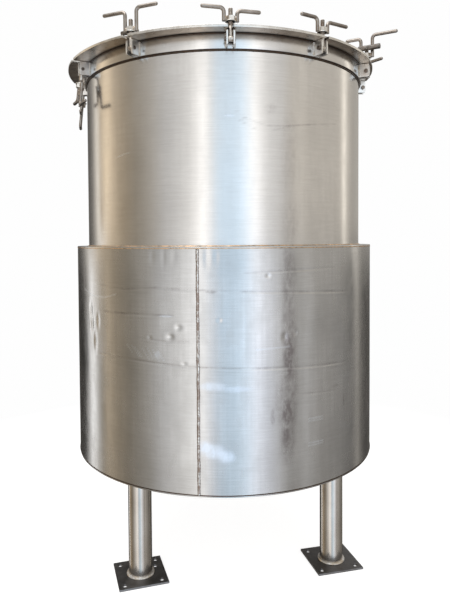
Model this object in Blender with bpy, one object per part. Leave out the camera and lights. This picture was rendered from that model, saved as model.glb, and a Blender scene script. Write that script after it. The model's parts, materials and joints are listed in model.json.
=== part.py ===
"""Vertical stainless steel tank with a jacket, four legs and a bolted lid.

Metres, +Z up, origin on the floor under the tank's axis. An azimuth of 0 points
towards -Y, and grows towards +X.
"""
import math
from collections import namedtuple

import bmesh
import bpy
from mathutils import Matrix, Vector

# Vessel
SHELL_RADIUS = 0.485
SHELL_WALL = 0.005
JACKET_RADIUS = 0.524
JACKET_WALL = 0.004
JACKET_BOTTOM = 0.323
JACKET_TOP = 1.034
JACKET_PLATE = 0.006
HEAD_DEPTH = 0.070
HEAD_EDGE = 0.012
SHELL_BOTTOM = 0.483
VESSEL_BORE = SHELL_RADIUS - SHELL_WALL

# Rim, gasket and lid
BAND_RADIUS = 0.4925
BAND_BOTTOM = 1.590
FLANGE_BOTTOM = 1.6337
FLANGE_THICKNESS = 0.0075
FLANGE_RADIUS = 0.539
FLANGE_SHIFT = (-0.008, 0.0, 0.0)
FLANGE_TOP = FLANGE_BOTTOM + FLANGE_THICKNESS
SLOT_WIDTH = 0.0165
SLOT_REACH = 0.060
SLOT_STEPS = 6
GASKET_THICKNESS = 0.0032
LID_PLATE = 0.009
LID_RADIUS = 0.505
DOME_RADIUS = 0.455
DOME_RISE = 0.080
DOME_WALL = 0.004
DOME_LIFT = 0.002
GASKET_SETBACK = 0.002

# Swing clamps
PIVOT_RADIUS = 0.516
PIVOT_HEIGHT = 1.6088
EAR_REACH = 0.033
EAR_GAP = 0.015
EAR_THICKNESS = 0.005
EAR_CLEARANCE = 0.0012
PIN_RADIUS = 0.00475
PIN_HEAD_RADIUS = 0.0085
PIN_HEAD_LENGTH = 0.006
PIN_TAIL_RADIUS = 0.0055
PIN_TAIL_LENGTH = 0.002
PIN_SIDES = 12
PIN_TAIL_SIDES = 8
WELD_OVERLAP = 0.0005
BOLT_RADIUS = 0.00635
BOLT_LENGTH = 0.083
BOLT_SIDES = 12
SHANK_ROOT = 0.008
EYE_RADIUS = 0.0105
EYE_WIDTH = 0.014
EYE_BORE = 0.0056
EYE_SIDES = 16
HEX_SIDES = 6
NUT_BORE = 0.0069
NUT_ACROSS_FLATS = 0.025
NUT_HEIGHT = 0.015
WASHER_RADIUS = 0.016
WASHER_THICKNESS = 0.0025
ROD_RADIUS = 0.0055
ROD_SPACING = 0.038
BEND_RADIUS = 0.012
BEND_STEPS = 3
BAR_WELD_WIDTH = 0.006
BAR_WELD_HEIGHT = 0.008
BAR_WELD_BITE = 0.0014

# Legs and feet
LEG_CIRCLE = 0.438
LEG_RADIUS = 0.0365
LEG_WALL = 0.005
LEG_STEPS = 24
LEG_AZIMUTHS = {"front_left": -37.7, "front_right": 52.3, "back_right": 142.3, "back_left": -142.3}
FOOT_SIDE = 0.1524
FOOT_THICKNESS = 0.00635
FOOT_TURN = {"front_left": 17.5, "front_right": 14.3, "back_right": 16.0, "back_left": 16.0}
FOOT_HOLE_SPACING = 0.114
FOOT_HOLE_RADIUS = 0.007
FOOT_HOLE_SIDES = 12
EXTRA_HOLE_FOOT = "front_left"
EXTRA_HOLE = (0.050, 0.022)

RING_STEPS = 64
BOTTOM_STEPS = 3
DOME_STEPS = 4
GAP = 0.0003
MERGE_DISTANCE = 1e-6
CUT_MERGE_DISTANCE = 2e-6
SHARP_ANGLE = math.radians(30.0)
HEX_TURN = math.radians(30.0)
LID_TOP = FLANGE_TOP + GASKET_THICKNESS + LID_PLATE + 2.0 * GAP
NUT_SEAT = LID_TOP + GAP - PIVOT_HEIGHT

# A cross bar lies beside the rods: its height over the nut's seat, its offset from
# the bolt, its two ends along the arms, and its radius.
CrossBar = namedtuple("CrossBar", "height offset near far radius")
UPPER_BAR = CrossBar(0.0285, -0.0149, -0.024, 0.048, 0.009)
LOWER_BAR = CrossBar(0.0085, 0.0175, -0.043, 0.014, 0.007)

# A clamp has its azimuth, the angle it leans out from closed, the turn of its handle
# from the tangent, and for its right and left rod the rise over the nut and the
# length of the arm. Angles are in degrees.
Clamp = namedtuple("Clamp", "azimuth lean twist rises arms bar", defaults=[None])
LOW_RISES = (0.018, 0.024)
TALL_RISES = (0.054, 0.046)
PLAIN_ARMS = (0.058, 0.058)
CLAMPS = {
    "front": Clamp(2.6, 0.0, 11.5, (0.0175, 0.023), (0.057, 0.054)),
    "front_right": Clamp(34.6, 0.0, -2.5, (0.0195, 0.025), (0.068, 0.051)),
    "right_front": Clamp(68.7, 0.0, -97.0, (0.0575, 0.051), (0.070, 0.040), UPPER_BAR),
    "right": Clamp(92.5, 0.0, 33.0, (0.018, 0.026), (0.058, 0.064)),
    "right_back": Clamp(122.7, 0.0, -9.0, TALL_RISES, PLAIN_ARMS),
    "back_right": Clamp(151.3, 0.0, 12.0, LOW_RISES, PLAIN_ARMS),
    "back": Clamp(180.0, 0.0, 4.0, LOW_RISES, PLAIN_ARMS),
    "back_left": Clamp(208.7, 0.0, -13.0, TALL_RISES, PLAIN_ARMS),
    "left_back": Clamp(237.3, 0.0, 7.0, LOW_RISES, PLAIN_ARMS),
    "left": Clamp(268.0, 174.0, -15.0, (0.030, 0.067), PLAIN_ARMS),
    "left_front": Clamp(297.5, 174.0, 0.0, (0.059, 0.037), (0.060, 0.040)),
    "front_left": Clamp(329.2, 0.0, 8.0, (0.054, 0.0465), (0.058, 0.065), LOWER_BAR),
}


def clear_scene():
    """Removes whatever the scene holds."""
    for item in list(bpy.data.objects):
        bpy.data.objects.remove(item, do_unlink=True)


def metal(name, colour, roughness):
    """Returns a metal's material."""
    material = bpy.data.materials.new(name)
    material.use_nodes = True
    shader = material.node_tree.nodes["Principled BSDF"]
    shader.inputs["Base Color"].default_value = (*colour, 1.0)
    shader.inputs["Roughness"].default_value = roughness
    shader.inputs["Metallic"].default_value = 1.0
    return material


def rubber(name, colour):
    """Returns the gasket's material."""
    material = metal(name, colour, 0.6)
    material.node_tree.nodes["Principled BSDF"].inputs["Metallic"].default_value = 0.0
    return material


def mesh_from(bm, name):
    """Turns a bmesh into a smooth-shaded mesh with sharp corners kept."""
    bmesh.ops.recalc_face_normals(bm, faces=bm.faces)
    mesh = bpy.data.meshes.new(name)
    bm.to_mesh(mesh)
    bm.free()
    mesh.shade_smooth()
    mesh.set_sharp_from_angle(angle=SHARP_ANGLE)
    return mesh


def add(name, mesh, material, location=(0.0, 0.0, 0.0), turn=0.0):
    """Puts a named object in the scene, turned about the vertical."""
    if not mesh.materials:
        mesh.materials.append(material)
    thing = bpy.data.objects.new(name, mesh)
    thing.location = location
    thing.rotation_euler = (0.0, 0.0, math.radians(turn))
    bpy.context.collection.objects.link(thing)
    return thing


def turned(profile, name, steps=RING_STEPS):
    """Spins a closed outline of (radius, height) points about the vertical axis."""
    bm = bmesh.new()
    verts = [bm.verts.new((radius, 0.0, height)) for radius, height in profile]
    edges = [bm.edges.new((verts[i], verts[(i + 1) % len(verts)])) for i in range(len(verts))]
    bmesh.ops.spin(bm, geom=verts + edges, cent=(0.0, 0.0, 0.0), axis=(0.0, 0.0, 1.0),
                   angle=2.0 * math.pi, steps=steps, use_merge=True)
    bmesh.ops.remove_doubles(bm, verts=bm.verts, dist=MERGE_DISTANCE)
    return mesh_from(bm, name)


def ring(inner, outer, bottom, top, name, steps=RING_STEPS):
    """Returns a flat ring or a tube."""
    outline = [(inner, bottom), (outer, bottom), (outer, top), (inner, top)]
    return turned(outline, name, steps)


def dished(radius, rise, wall, name, arc_steps):
    """Returns a dished plate with its crown up and its edge at height 0."""
    crown = (radius * radius + rise * rise) / (2.0 * rise)
    reach = math.asin(radius / (crown + wall))
    outline = []
    for sphere, order in ((crown, 1), (crown + wall, -1)):
        arc = []
        for i in range(arc_steps + 1):
            angle = reach * i / arc_steps
            arc.append((sphere * math.sin(angle), sphere * math.cos(angle) - crown * math.cos(reach)))
        outline += arc[::order]
    bm = bmesh.new()
    verts = [bm.verts.new((x, 0.0, z)) for x, z in outline]
    edges = [bm.edges.new(pair) for pair in zip(verts, verts[1:])]
    bmesh.ops.spin(bm, geom=verts + edges, cent=(0.0, 0.0, 0.0), axis=(0.0, 0.0, 1.0),
                   angle=2.0 * math.pi, steps=RING_STEPS, use_merge=True)
    bmesh.ops.remove_doubles(bm, verts=bm.verts, dist=MERGE_DISTANCE)
    return mesh_from(bm, name)


def add_box(bm, size, centre):
    """Adds a box to a bmesh."""
    matrix = Matrix.Translation(centre) @ Matrix.Diagonal((*size, 1.0))
    bmesh.ops.create_cube(bm, size=1.0, matrix=matrix)


def add_bar(bm, radius, start, end, sides, turn=0.0):
    """Adds a straight bar of so many sides between two points."""
    start = Vector(start)
    axis = Vector(end) - start
    matrix = Matrix.Translation(start + axis / 2.0) @ axis.to_track_quat("Z", "Y").to_matrix().to_4x4()
    matrix = matrix @ Matrix.Rotation(turn, 4, "Z")
    bmesh.ops.create_cone(bm, cap_ends=True, segments=sides, radius1=radius, radius2=radius,
                          depth=axis.length, matrix=matrix)


def combine(name, base, joined=(), cut=()):
    """Joins meshes to a base mesh and cuts others out of it."""
    body = bpy.data.objects.new(name, base)
    bpy.context.collection.objects.link(body)
    helpers = []
    for operation, meshes in (("UNION", joined), ("DIFFERENCE", cut)):
        for mesh in meshes:
            helper = bpy.data.objects.new(name + "_helper", mesh)
            helper.hide_render = True
            helper.display_type = "WIRE"
            bpy.context.collection.objects.link(helper)
            helpers.append(helper)
            boolean = body.modifiers.new(operation.lower(), "BOOLEAN")
            boolean.operation = operation
            boolean.object = helper
    bpy.context.view_layer.update()
    graph = bpy.context.evaluated_depsgraph_get()
    result = bpy.data.meshes.new_from_object(body.evaluated_get(graph))
    for item in [body] + helpers:
        bpy.data.objects.remove(item, do_unlink=True)
    bm = bmesh.new()
    bm.from_mesh(result)
    bmesh.ops.remove_doubles(bm, verts=bm.verts, dist=CUT_MERGE_DISTANCE)
    bmesh.ops.dissolve_degenerate(bm, edges=bm.edges, dist=MERGE_DISTANCE)
    bm.to_mesh(result)
    bm.free()
    result.materials.clear()
    result.shade_smooth()
    result.set_sharp_from_angle(angle=SHARP_ANGLE)
    return result


def vessel(steel):
    """Shell wall and dished bottom."""
    wall = ring(VESSEL_BORE, SHELL_RADIUS, SHELL_BOTTOM, FLANGE_BOTTOM - GAP, "vessel_wall")
    add("vessel_wall", wall, steel)
    bm = bmesh.new()
    bm.from_mesh(dished(VESSEL_BORE - GAP, HEAD_DEPTH, SHELL_WALL, "vessel_bottom", BOTTOM_STEPS))
    bmesh.ops.rotate(bm, verts=bm.verts, cent=(0.0, 0.0, 0.0), matrix=Matrix.Rotation(math.pi, 3, "X"))
    add("vessel_bottom", mesh_from(bm, "vessel_bottom"), steel, (0.0, 0.0, SHELL_BOTTOM + HEAD_EDGE))


def jacket(steel):
    """Outer jacket: its wall, its top ring and its bottom plate."""
    low = JACKET_BOTTOM + JACKET_PLATE + GAP
    high = JACKET_TOP - JACKET_PLATE - GAP
    add("jacket_wall", ring(JACKET_RADIUS - JACKET_WALL, JACKET_RADIUS, low, high, "jacket_wall"), steel)
    inner = SHELL_RADIUS + GAP
    top = ring(inner, JACKET_RADIUS, JACKET_TOP - JACKET_PLATE, JACKET_TOP, "jacket_top_ring")
    add("jacket_top_ring", top, steel)
    bm = bmesh.new()
    bmesh.ops.create_cone(bm, cap_ends=True, segments=RING_STEPS, radius1=JACKET_RADIUS,
                          radius2=JACKET_RADIUS, depth=JACKET_PLATE)
    centre = (0.0, 0.0, JACKET_BOTTOM + JACKET_PLATE / 2.0)
    add("jacket_bottom", mesh_from(bm, "jacket_bottom"), steel, centre)


def ears_and_pin():
    """Returns one clevis at azimuth 0: two ears, and the pin through them."""
    root = BAND_RADIUS - SHELL_WALL / 2.0
    reach = BAND_RADIUS + EAR_REACH
    height = FLANGE_BOTTOM - BAND_BOTTOM - EAR_CLEARANCE
    middle = BAND_BOTTOM + height / 2.0 + GAP
    side = EAR_GAP / 2.0 + EAR_THICKNESS / 2.0
    outer = EAR_GAP / 2.0 + EAR_THICKNESS
    ears = bmesh.new()
    for sign in (-1, 1):
        add_box(ears, (EAR_THICKNESS, reach - root, height), (sign * side, -(reach + root) / 2.0, middle))
    pin = bmesh.new()
    start = (-outer - PIN_TAIL_LENGTH / 2.0, -PIVOT_RADIUS, PIVOT_HEIGHT)
    end = (outer + PIN_TAIL_LENGTH / 2.0, -PIVOT_RADIUS, PIVOT_HEIGHT)
    add_bar(pin, PIN_RADIUS, start, end, PIN_SIDES)
    ends = bmesh.new()
    add_bar(ends, PIN_HEAD_RADIUS, (-outer - PIN_HEAD_LENGTH, -PIVOT_RADIUS, PIVOT_HEIGHT),
            (-outer + WELD_OVERLAP, -PIVOT_RADIUS, PIVOT_HEIGHT), HEX_SIDES)
    add_bar(ends, PIN_TAIL_RADIUS, (outer - WELD_OVERLAP, -PIVOT_RADIUS, PIVOT_HEIGHT),
            (outer + PIN_TAIL_LENGTH, -PIVOT_RADIUS, PIVOT_HEIGHT), PIN_TAIL_SIDES)
    return combine("clevis", mesh_from(ears, "ears"), [mesh_from(pin, "pin"), mesh_from(ends, "pin_ends")])


def clamp_band(steel):
    """The band under the rim, with a clevis for each clamp."""
    clevis = ears_and_pin()
    all_round = bmesh.new()
    for clamp in CLAMPS.values():
        bm = bmesh.new()
        bm.from_mesh(clevis)
        bmesh.ops.rotate(bm, verts=bm.verts, cent=(0.0, 0.0, 0.0),
                         matrix=Matrix.Rotation(math.radians(clamp.azimuth), 3, "Z"))
        piece = bpy.data.meshes.new("clevis_copy")
        bm.to_mesh(piece)
        bm.free()
        all_round.from_mesh(piece)
    band = ring(SHELL_RADIUS + GAP, BAND_RADIUS, BAND_BOTTOM, FLANGE_BOTTOM - GAP, "clamp_band")
    add("clamp_band", combine("clamp_band", band, [mesh_from(all_round, "clevises")]), steel)


def slot_cutter(azimuth):
    """Returns a cutter for one open slot: straight sides with a half round at its inner end."""
    half = SLOT_WIDTH / 2.0
    outline = [(half, -PIVOT_RADIUS - SLOT_REACH), (half, -PIVOT_RADIUS)]
    for i in range(1, SLOT_STEPS):
        angle = math.pi * i / SLOT_STEPS
        outline.append((half * math.cos(angle), -PIVOT_RADIUS + half * math.sin(angle)))
    outline += [(-half, -PIVOT_RADIUS), (-half, -PIVOT_RADIUS - SLOT_REACH)]
    bm = bmesh.new()
    low = FLANGE_BOTTOM - FLANGE_THICKNESS
    depth = 3.0 * FLANGE_THICKNESS
    face = bm.faces.new([bm.verts.new((x, y, low)) for x, y in outline])
    made = bmesh.ops.extrude_face_region(bm, geom=[face])
    risen = [item for item in made["geom"] if isinstance(item, bmesh.types.BMVert)]
    bmesh.ops.translate(bm, verts=risen, vec=(0.0, 0.0, depth))
    bmesh.ops.rotate(bm, verts=bm.verts, cent=(0.0, 0.0, 0.0),
                     matrix=Matrix.Rotation(math.radians(azimuth), 3, "Z"))
    return mesh_from(bm, "slot")


def rim_flange(steel):
    """The rim that overhangs the band a little off centre, with an open slot for each bolt."""
    flange = ring(VESSEL_BORE, FLANGE_RADIUS, FLANGE_BOTTOM, FLANGE_TOP, "rim_flange")
    for vertex in flange.vertices:
        if math.hypot(vertex.co.x, vertex.co.y) > BAND_RADIUS:
            vertex.co += Vector(FLANGE_SHIFT)
    cutters = bmesh.new()
    for clamp in CLAMPS.values():
        cutters.from_mesh(slot_cutter(clamp.azimuth))
    add("rim_flange", combine("rim_flange", flange, cut=[mesh_from(cutters, "slots")]), steel)


def lid(steel, dark):
    """Gasket, lid plate ring and dished centre."""
    low = FLANGE_TOP + GAP
    gasket = ring(VESSEL_BORE, LID_RADIUS - GASKET_SETBACK, low, low + GASKET_THICKNESS, "gasket")
    add("gasket", gasket, dark)
    low = LID_TOP - LID_PLATE
    add("lid_ring", ring(DOME_RADIUS, LID_RADIUS, low, LID_TOP, "lid_ring"), steel)
    dome = dished(DOME_RADIUS - GAP, DOME_RISE, DOME_WALL, "lid_dome", DOME_STEPS)
    add("lid_dome", dome, steel, (0.0, 0.0, low + DOME_LIFT))


def swing_bolt_mesh():
    """Returns a bolt with an eye at its origin and its shank up the Z axis."""
    shank = bmesh.new()
    add_bar(shank, BOLT_RADIUS, (0.0, 0.0, SHANK_ROOT), (0.0, 0.0, BOLT_LENGTH), BOLT_SIDES)
    eye = bmesh.new()
    half = EYE_WIDTH / 2.0
    add_bar(eye, EYE_RADIUS, (-half, 0.0, 0.0), (half, 0.0, 0.0), EYE_SIDES)
    bore = bmesh.new()
    add_bar(bore, EYE_BORE, (-EYE_WIDTH, 0.0, 0.0), (EYE_WIDTH, 0.0, 0.0), PIN_SIDES)
    meshes = [mesh_from(shank, "shank")]
    return combine("swing_bolt", mesh_from(eye, "eye"), meshes, [mesh_from(bore, "bore")])


def swept(points, radius, name):
    """Returns a round bar that follows a line of points."""
    curve = bpy.data.curves.new(name, "CURVE")
    curve.dimensions = "3D"
    curve.bevel_depth = radius
    curve.bevel_resolution = 2
    curve.use_fill_caps = True
    spline = curve.splines.new("POLY")
    spline.points.add(len(points) - 1)
    for place, point in zip(spline.points, points):
        place.co = (*point, 1.0)
    guide = bpy.data.objects.new(name, curve)
    bpy.context.collection.objects.link(guide)
    bpy.context.view_layer.update()
    graph = bpy.context.evaluated_depsgraph_get()
    mesh = bpy.data.meshes.new_from_object(guide.evaluated_get(graph))
    bpy.data.objects.remove(guide, do_unlink=True)
    bm = bmesh.new()
    bm.from_mesh(mesh)
    bmesh.ops.remove_doubles(bm, verts=bm.verts, dist=MERGE_DISTANCE)
    return mesh_from(bm, name)


def rod_route(side, rise, arm):
    """Returns the line of one handle rod: up beside the nut, round a bend and outwards."""
    x = side * ROD_SPACING / 2.0
    route = [(x, 0.0, WASHER_THICKNESS / 2.0)]
    centre = (x + side * BEND_RADIUS, rise - BEND_RADIUS)
    for i in range(BEND_STEPS + 1):
        angle = math.pi / 2.0 * i / BEND_STEPS
        route.append((centre[0] - side * BEND_RADIUS * math.cos(angle), 0.0,
                      centre[1] + BEND_RADIUS * math.sin(angle)))
    route.append((centre[0] + side * arm, 0.0, rise))
    return route


def bar_meshes(bar):
    """Returns a cross bar, one flat towards the bolt, and the welds that hold it to the rods."""
    hexagon = bmesh.new()
    add_bar(hexagon, bar.radius, (bar.near, bar.offset, bar.height), (bar.far, bar.offset, bar.height), HEX_SIDES)
    welds = bmesh.new()
    start = ROD_RADIUS - BAR_WELD_BITE
    end = abs(bar.offset) - bar.radius * math.cos(HEX_TURN) + BAR_WELD_BITE
    middle = math.copysign((start + end) / 2.0, bar.offset)
    for x in (-ROD_SPACING / 2.0, ROD_SPACING / 2.0):
        if bar.near < x < bar.far:
            add_box(welds, (BAR_WELD_WIDTH, end - start, BAR_WELD_HEIGHT), (x, middle, bar.height))
    return [mesh_from(hexagon, "cross_bar"), mesh_from(welds, "cross_bar_welds")]


def handle_nut_mesh(clamp):
    """Returns a nut with its seat at the origin, two bent rods and any cross bar."""
    hexagon = bmesh.new()
    corner = NUT_ACROSS_FLATS / math.sqrt(3.0)
    add_bar(hexagon, corner, (0.0, 0.0, 0.0), (0.0, 0.0, NUT_HEIGHT), HEX_SIDES, HEX_TURN)
    washer = bmesh.new()
    add_bar(washer, WASHER_RADIUS, (0.0, 0.0, 0.0), (0.0, 0.0, WASHER_THICKNESS), BOLT_SIDES)
    joined = [mesh_from(washer, "washer")]
    for side, rise, arm in zip((1, -1), clamp.rises, clamp.arms):
        joined.append(swept(rod_route(side, NUT_HEIGHT + rise, arm), ROD_RADIUS, "rod"))
    if clamp.bar:
        joined += bar_meshes(clamp.bar)
    bore = bmesh.new()
    add_bar(bore, NUT_BORE, (0.0, 0.0, -NUT_HEIGHT), (0.0, 0.0, 2.0 * NUT_HEIGHT), BOLT_SIDES)
    return combine("handle_nut", mesh_from(hexagon, "hexagon"), joined, [mesh_from(bore, "bore")])


def clamps(steel):
    """The swing bolts and their handle nuts, each pair under an empty on its pin."""
    bolt = swing_bolt_mesh()
    nuts = {}
    for place, clamp in CLAMPS.items():
        azimuth = math.radians(clamp.azimuth)
        pivot = bpy.data.objects.new("pivot_" + place, None)
        pivot.location = (PIVOT_RADIUS * math.sin(azimuth), -PIVOT_RADIUS * math.cos(azimuth), PIVOT_HEIGHT)
        pivot.rotation_euler = (math.radians(clamp.lean), 0.0, azimuth)
        bpy.context.collection.objects.link(pivot)
        add("swing_bolt_" + place, bolt, steel).parent = pivot
        handle = (clamp.rises, clamp.arms, clamp.bar)
        if handle not in nuts:
            nuts[handle] = handle_nut_mesh(clamp)
        nut = add("handle_nut_" + place, nuts[handle], steel, (0.0, 0.0, NUT_SEAT), clamp.twist)
        nut.parent = pivot


def foot(place, steel):
    """A square plate with anchor holes."""
    plate = bmesh.new()
    add_box(plate, (FOOT_SIDE, FOOT_SIDE, FOOT_THICKNESS), (0.0, 0.0, FOOT_THICKNESS / 2.0))
    half = FOOT_HOLE_SPACING / 2.0
    holes = [(x, y) for x in (-half, half) for y in (-half, half)]
    if place == EXTRA_HOLE_FOOT:
        holes.append(EXTRA_HOLE)
    drills = bmesh.new()
    for x, y in holes:
        below = (x, y, -FOOT_THICKNESS)
        above = (x, y, 2.0 * FOOT_THICKNESS)
        add_bar(drills, FOOT_HOLE_RADIUS, below, above, FOOT_HOLE_SIDES)
    return combine("foot_" + place, mesh_from(plate, "plate"), cut=[mesh_from(drills, "drills")])


def legs(steel, plate_steel):
    """Four tube legs, each on its foot plate."""
    for place, azimuth in LEG_AZIMUTHS.items():
        angle = math.radians(azimuth)
        x = LEG_CIRCLE * math.sin(angle)
        y = -LEG_CIRCLE * math.cos(angle)
        tube = ring(LEG_RADIUS - LEG_WALL, LEG_RADIUS, FOOT_THICKNESS + GAP, JACKET_BOTTOM - GAP,
                    "leg_" + place, LEG_STEPS)
        add("leg_" + place, tube, steel, (x, y, 0.0))
        add("foot_" + place, foot(place, plate_steel), plate_steel, (x, y, 0.0), FOOT_TURN[place])


def build():
    """Builds the whole tank."""
    clear_scene()
    satin = metal("satin_stainless", (0.55, 0.53, 0.49), 0.32)
    worn = metal("insulated_jacket_stainless", (0.50, 0.48, 0.45), 0.38)
    bright = metal("bright_stainless", (0.62, 0.61, 0.60), 0.25)
    dark = rubber("gasket_rubber", (0.04, 0.04, 0.04))
    rolled = metal("hot_rolled_plate", (0.18, 0.17, 0.16), 0.55)
    vessel(satin)
    jacket(worn)
    clamp_band(bright)
    rim_flange(satin)
    lid(satin, dark)
    clamps(bright)
    legs(bright, rolled)


build()
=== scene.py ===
"""Looks of the jacketed stainless tank: sheet, welds, clamps, legs, floor and light.

Metres, +Z up, origin on the floor under the tank's axis. An azimuth of 0 points
towards -Y, and grows towards +X.
"""
import json
import math
from collections import namedtuple

import bmesh
import bpy
from mathutils import Matrix, Vector, noise


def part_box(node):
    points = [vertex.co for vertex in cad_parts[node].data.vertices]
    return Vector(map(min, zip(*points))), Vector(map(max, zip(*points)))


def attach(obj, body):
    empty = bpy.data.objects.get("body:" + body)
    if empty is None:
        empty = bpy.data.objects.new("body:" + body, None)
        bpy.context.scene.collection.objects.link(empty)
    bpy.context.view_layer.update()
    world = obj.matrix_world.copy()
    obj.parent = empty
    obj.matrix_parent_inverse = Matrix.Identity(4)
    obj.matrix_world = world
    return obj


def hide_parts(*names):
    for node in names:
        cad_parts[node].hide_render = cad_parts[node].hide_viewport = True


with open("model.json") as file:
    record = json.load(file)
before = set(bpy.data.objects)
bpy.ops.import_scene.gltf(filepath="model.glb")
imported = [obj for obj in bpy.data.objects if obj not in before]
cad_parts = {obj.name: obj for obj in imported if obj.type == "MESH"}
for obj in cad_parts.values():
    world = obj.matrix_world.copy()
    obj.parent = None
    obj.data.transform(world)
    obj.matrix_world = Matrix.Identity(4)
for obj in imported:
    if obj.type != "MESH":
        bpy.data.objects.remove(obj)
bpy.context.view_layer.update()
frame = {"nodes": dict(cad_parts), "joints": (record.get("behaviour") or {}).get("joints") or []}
MM = 0.001
MERGE_DISTANCE = 0.001 * MM
SHARP_ANGLE = math.radians(32.0)

# Driving sizes, read from the frame
SHELL_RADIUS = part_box("vessel_wall")[1].x
SHELL_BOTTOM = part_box("vessel_wall")[0].z
SHELL_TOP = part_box("vessel_wall")[1].z
JACKET_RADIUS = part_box("jacket_wall")[1].x
JACKET_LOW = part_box("jacket_wall")[0].z
JACKET_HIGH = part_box("jacket_wall")[1].z
JACKET_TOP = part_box("jacket_top_ring")[1].z
JACKET_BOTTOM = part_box("jacket_bottom")[0].z
RIM_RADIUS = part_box("rim_flange")[1].y
RIM_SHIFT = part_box("rim_flange")[1].x - RIM_RADIUS
RIM_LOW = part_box("rim_flange")[0].z
RIM_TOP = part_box("rim_flange")[1].z
BAND_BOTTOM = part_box("clamp_band")[0].z
GASKET_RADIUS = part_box("gasket")[1].x
GASKET_LOW, GASKET_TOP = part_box("gasket")[0].z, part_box("gasket")[1].z
LID_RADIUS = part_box("lid_ring")[1].x
LID_LOW, LID_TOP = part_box("lid_ring")[0].z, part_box("lid_ring")[1].z
DOME_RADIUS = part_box("lid_dome")[1].x
DOME_LOW, DOME_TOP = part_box("lid_dome")[0].z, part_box("lid_dome")[1].z
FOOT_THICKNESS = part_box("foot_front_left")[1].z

# Sheet and plate
SHELL_WALL = 5 * MM
JACKET_WALL = 4 * MM
DOME_WALL = 4 * MM
BAND_RADIUS = 492.5 * MM
GAP = 0.3 * MM
# The weld's soot and the painted shade on the rim's underside fade out at a radius, and side
# faces that lie farther in than the rim's edge are the slots' walls
SOOT_AND_SHADE_RADIUS = BAND_RADIUS + 16 * MM
RIM_EDGE = 12 * MM
SHELL_STEPS = 240
RING_STEPS = 180
DOME_STEPS = 24

# Rows of the sheets' meshes: close together where marks and dents lie
FINE_ROW = 3 * MM
SHELL_ROW = 20 * MM
SHELL_MARKED = (1.29, 1.45)
JACKET_LOW_ROW, JACKET_HIGH_ROW = 7 * MM, 6 * MM
JACKET_MARKED = (0.43, 0.98)
JACKET_FRONT = (-70.0, 55.0)
JACKET_FRONT_STEPS, JACKET_BACK_STEPS = 264, 120

# How far edges are rounded
SHEARED_ROUND = 1.0 * MM
FILED_ROUND = 0.6 * MM
JACKET_TOP_ROUND = 1.2 * MM
LID_ROUND = 1.5 * MM
PIN_ROUND, PIN_HEAD_ROUND, PIN_TAIL_ROUND = 0.5 * MM, 1.2 * MM, 0.8 * MM
BAR_ROUND = 0.9 * MM

# Weld beads in millimetres: how far the middle lies off the two faces that it
# joins, half the width and height of the section, and the spacing of the scales
Bead = namedtuple("Bead", "out up half_width half_rise pitch")
SEAM_BEAD = Bead(0.0, 0.0, 3.4, 1.8, 4.5)
SEAM_TOES = Bead(0.0, 0.0, 4.9, 0.5, 9.0)
JACKET_UPPER_BEAD = Bead(-0.8, 1.2, 1.5, 1.7, 4.0)
JACKET_LOWER_BEAD = Bead(-0.4, -1.0, 1.6, 1.9, 5.0)
JACKET_FILLET = Bead(1.0, 0.4, 3.0, 2.6, 5.0)
BAND_UPPER_BEAD = Bead(0.4, -1.2, 2.2, 2.2, 6.0)
BAND_LOWER_BEAD = Bead(0.8, -2.0, 2.0, 3.2, 6.0)
LID_BEAD = Bead(0.0, 0.0, 4.5, 2.4, 5.0)
LUG_BEAD = Bead(0.6, 0.4, 2.6, 2.6, 4.0)
FOOT_BEAD = Bead(1.6, 1.4, 5.4, 4.8, 5.5)
LEG_TOP_BEAD = Bead(0.8, -1.0, 3.2, 2.8, 5.0)
BEAD_SIDES, SEAM_SIDES = 8, 10
SCALE_STEPS = 3
# Shares of a bead's size: how deep its scales are, how far they curve back at the
# sides, how uneven it and a short weld are, and how far the seam strays
RIPPLE_DEPTH, RIPPLE_CURVE, RIPPLE_UNEVEN = 0.16, 0.35, 0.10
LUMP_UNEVEN, LUMP_RIPPLE = 0.22, 0.10
SEAM_WANDER = 0.25

# The clamps by place, from the frame's joints: azimuth, lean from upright and pivot
Clamp = namedtuple("Clamp", "azimuth lean pivot")
CLAMPS = {}
for joint in frame["joints"]:
    across = joint["axis"]
    CLAMPS[joint["name"].replace("swing_", "")] = Clamp(
        math.degrees(math.atan2(across[1], across[0])), -joint["range_deg"][0], Vector(joint["pos_m"]))
PIVOT_RADIUS = math.hypot(*CLAMPS["front"].pivot[:2])
PIVOT_HEIGHT = CLAMPS["front"].pivot.z
NUT_SEAT = LID_TOP + GAP - PIVOT_HEIGHT

# Parts of a clamp: the lugs, the pin, the swing bolt and its handle nut
SLOT_WIDTH = 16.5 * MM
SLOT_STEPS = 10
LUG_GAP = 15 * MM
LUG_THICKNESS = 5 * MM
LUG_REACH = 33 * MM
LUG_CLEARANCE = 1.2 * MM
LUG_BITE = 1 * MM
LUG_CORNER = 4 * MM
PIN_RADIUS = 4.75 * MM
PIN_HEAD_RADIUS = 7.2 * MM
PIN_HEAD_LENGTH = 6 * MM
PIN_TAIL_RADIUS = 5.5 * MM
PIN_TAIL_LENGTH = 2 * MM
PIN_SIDES, PIN_TAIL_SIDES, HEX_SIDES = 20, 16, 6
EYE_RADIUS = 8.2 * MM
EYE_WIDTH = 13.4 * MM
EYE_BORE = 5.2 * MM
EYE_STEPS = 32
BOLT_RADIUS = 6.35 * MM
BOLT_LENGTH = 83 * MM
NECK_START = 5.4 * MM
NECK_MIDDLE = 14 * MM
NECK_SIDES = 24
THREAD_START = 34 * MM
THREAD_PITCH = 1.95 * MM
THREAD_DEPTH = 1.0 * MM
THREAD_CREST = (0.42, 0.58)
THREAD_STEPS = 14
THREAD_TIP = 0.6 * MM
NUT_ACROSS_FLATS = 25 * MM
NUT_HEIGHT = 15 * MM
NUT_BORE = 6.6 * MM
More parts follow.
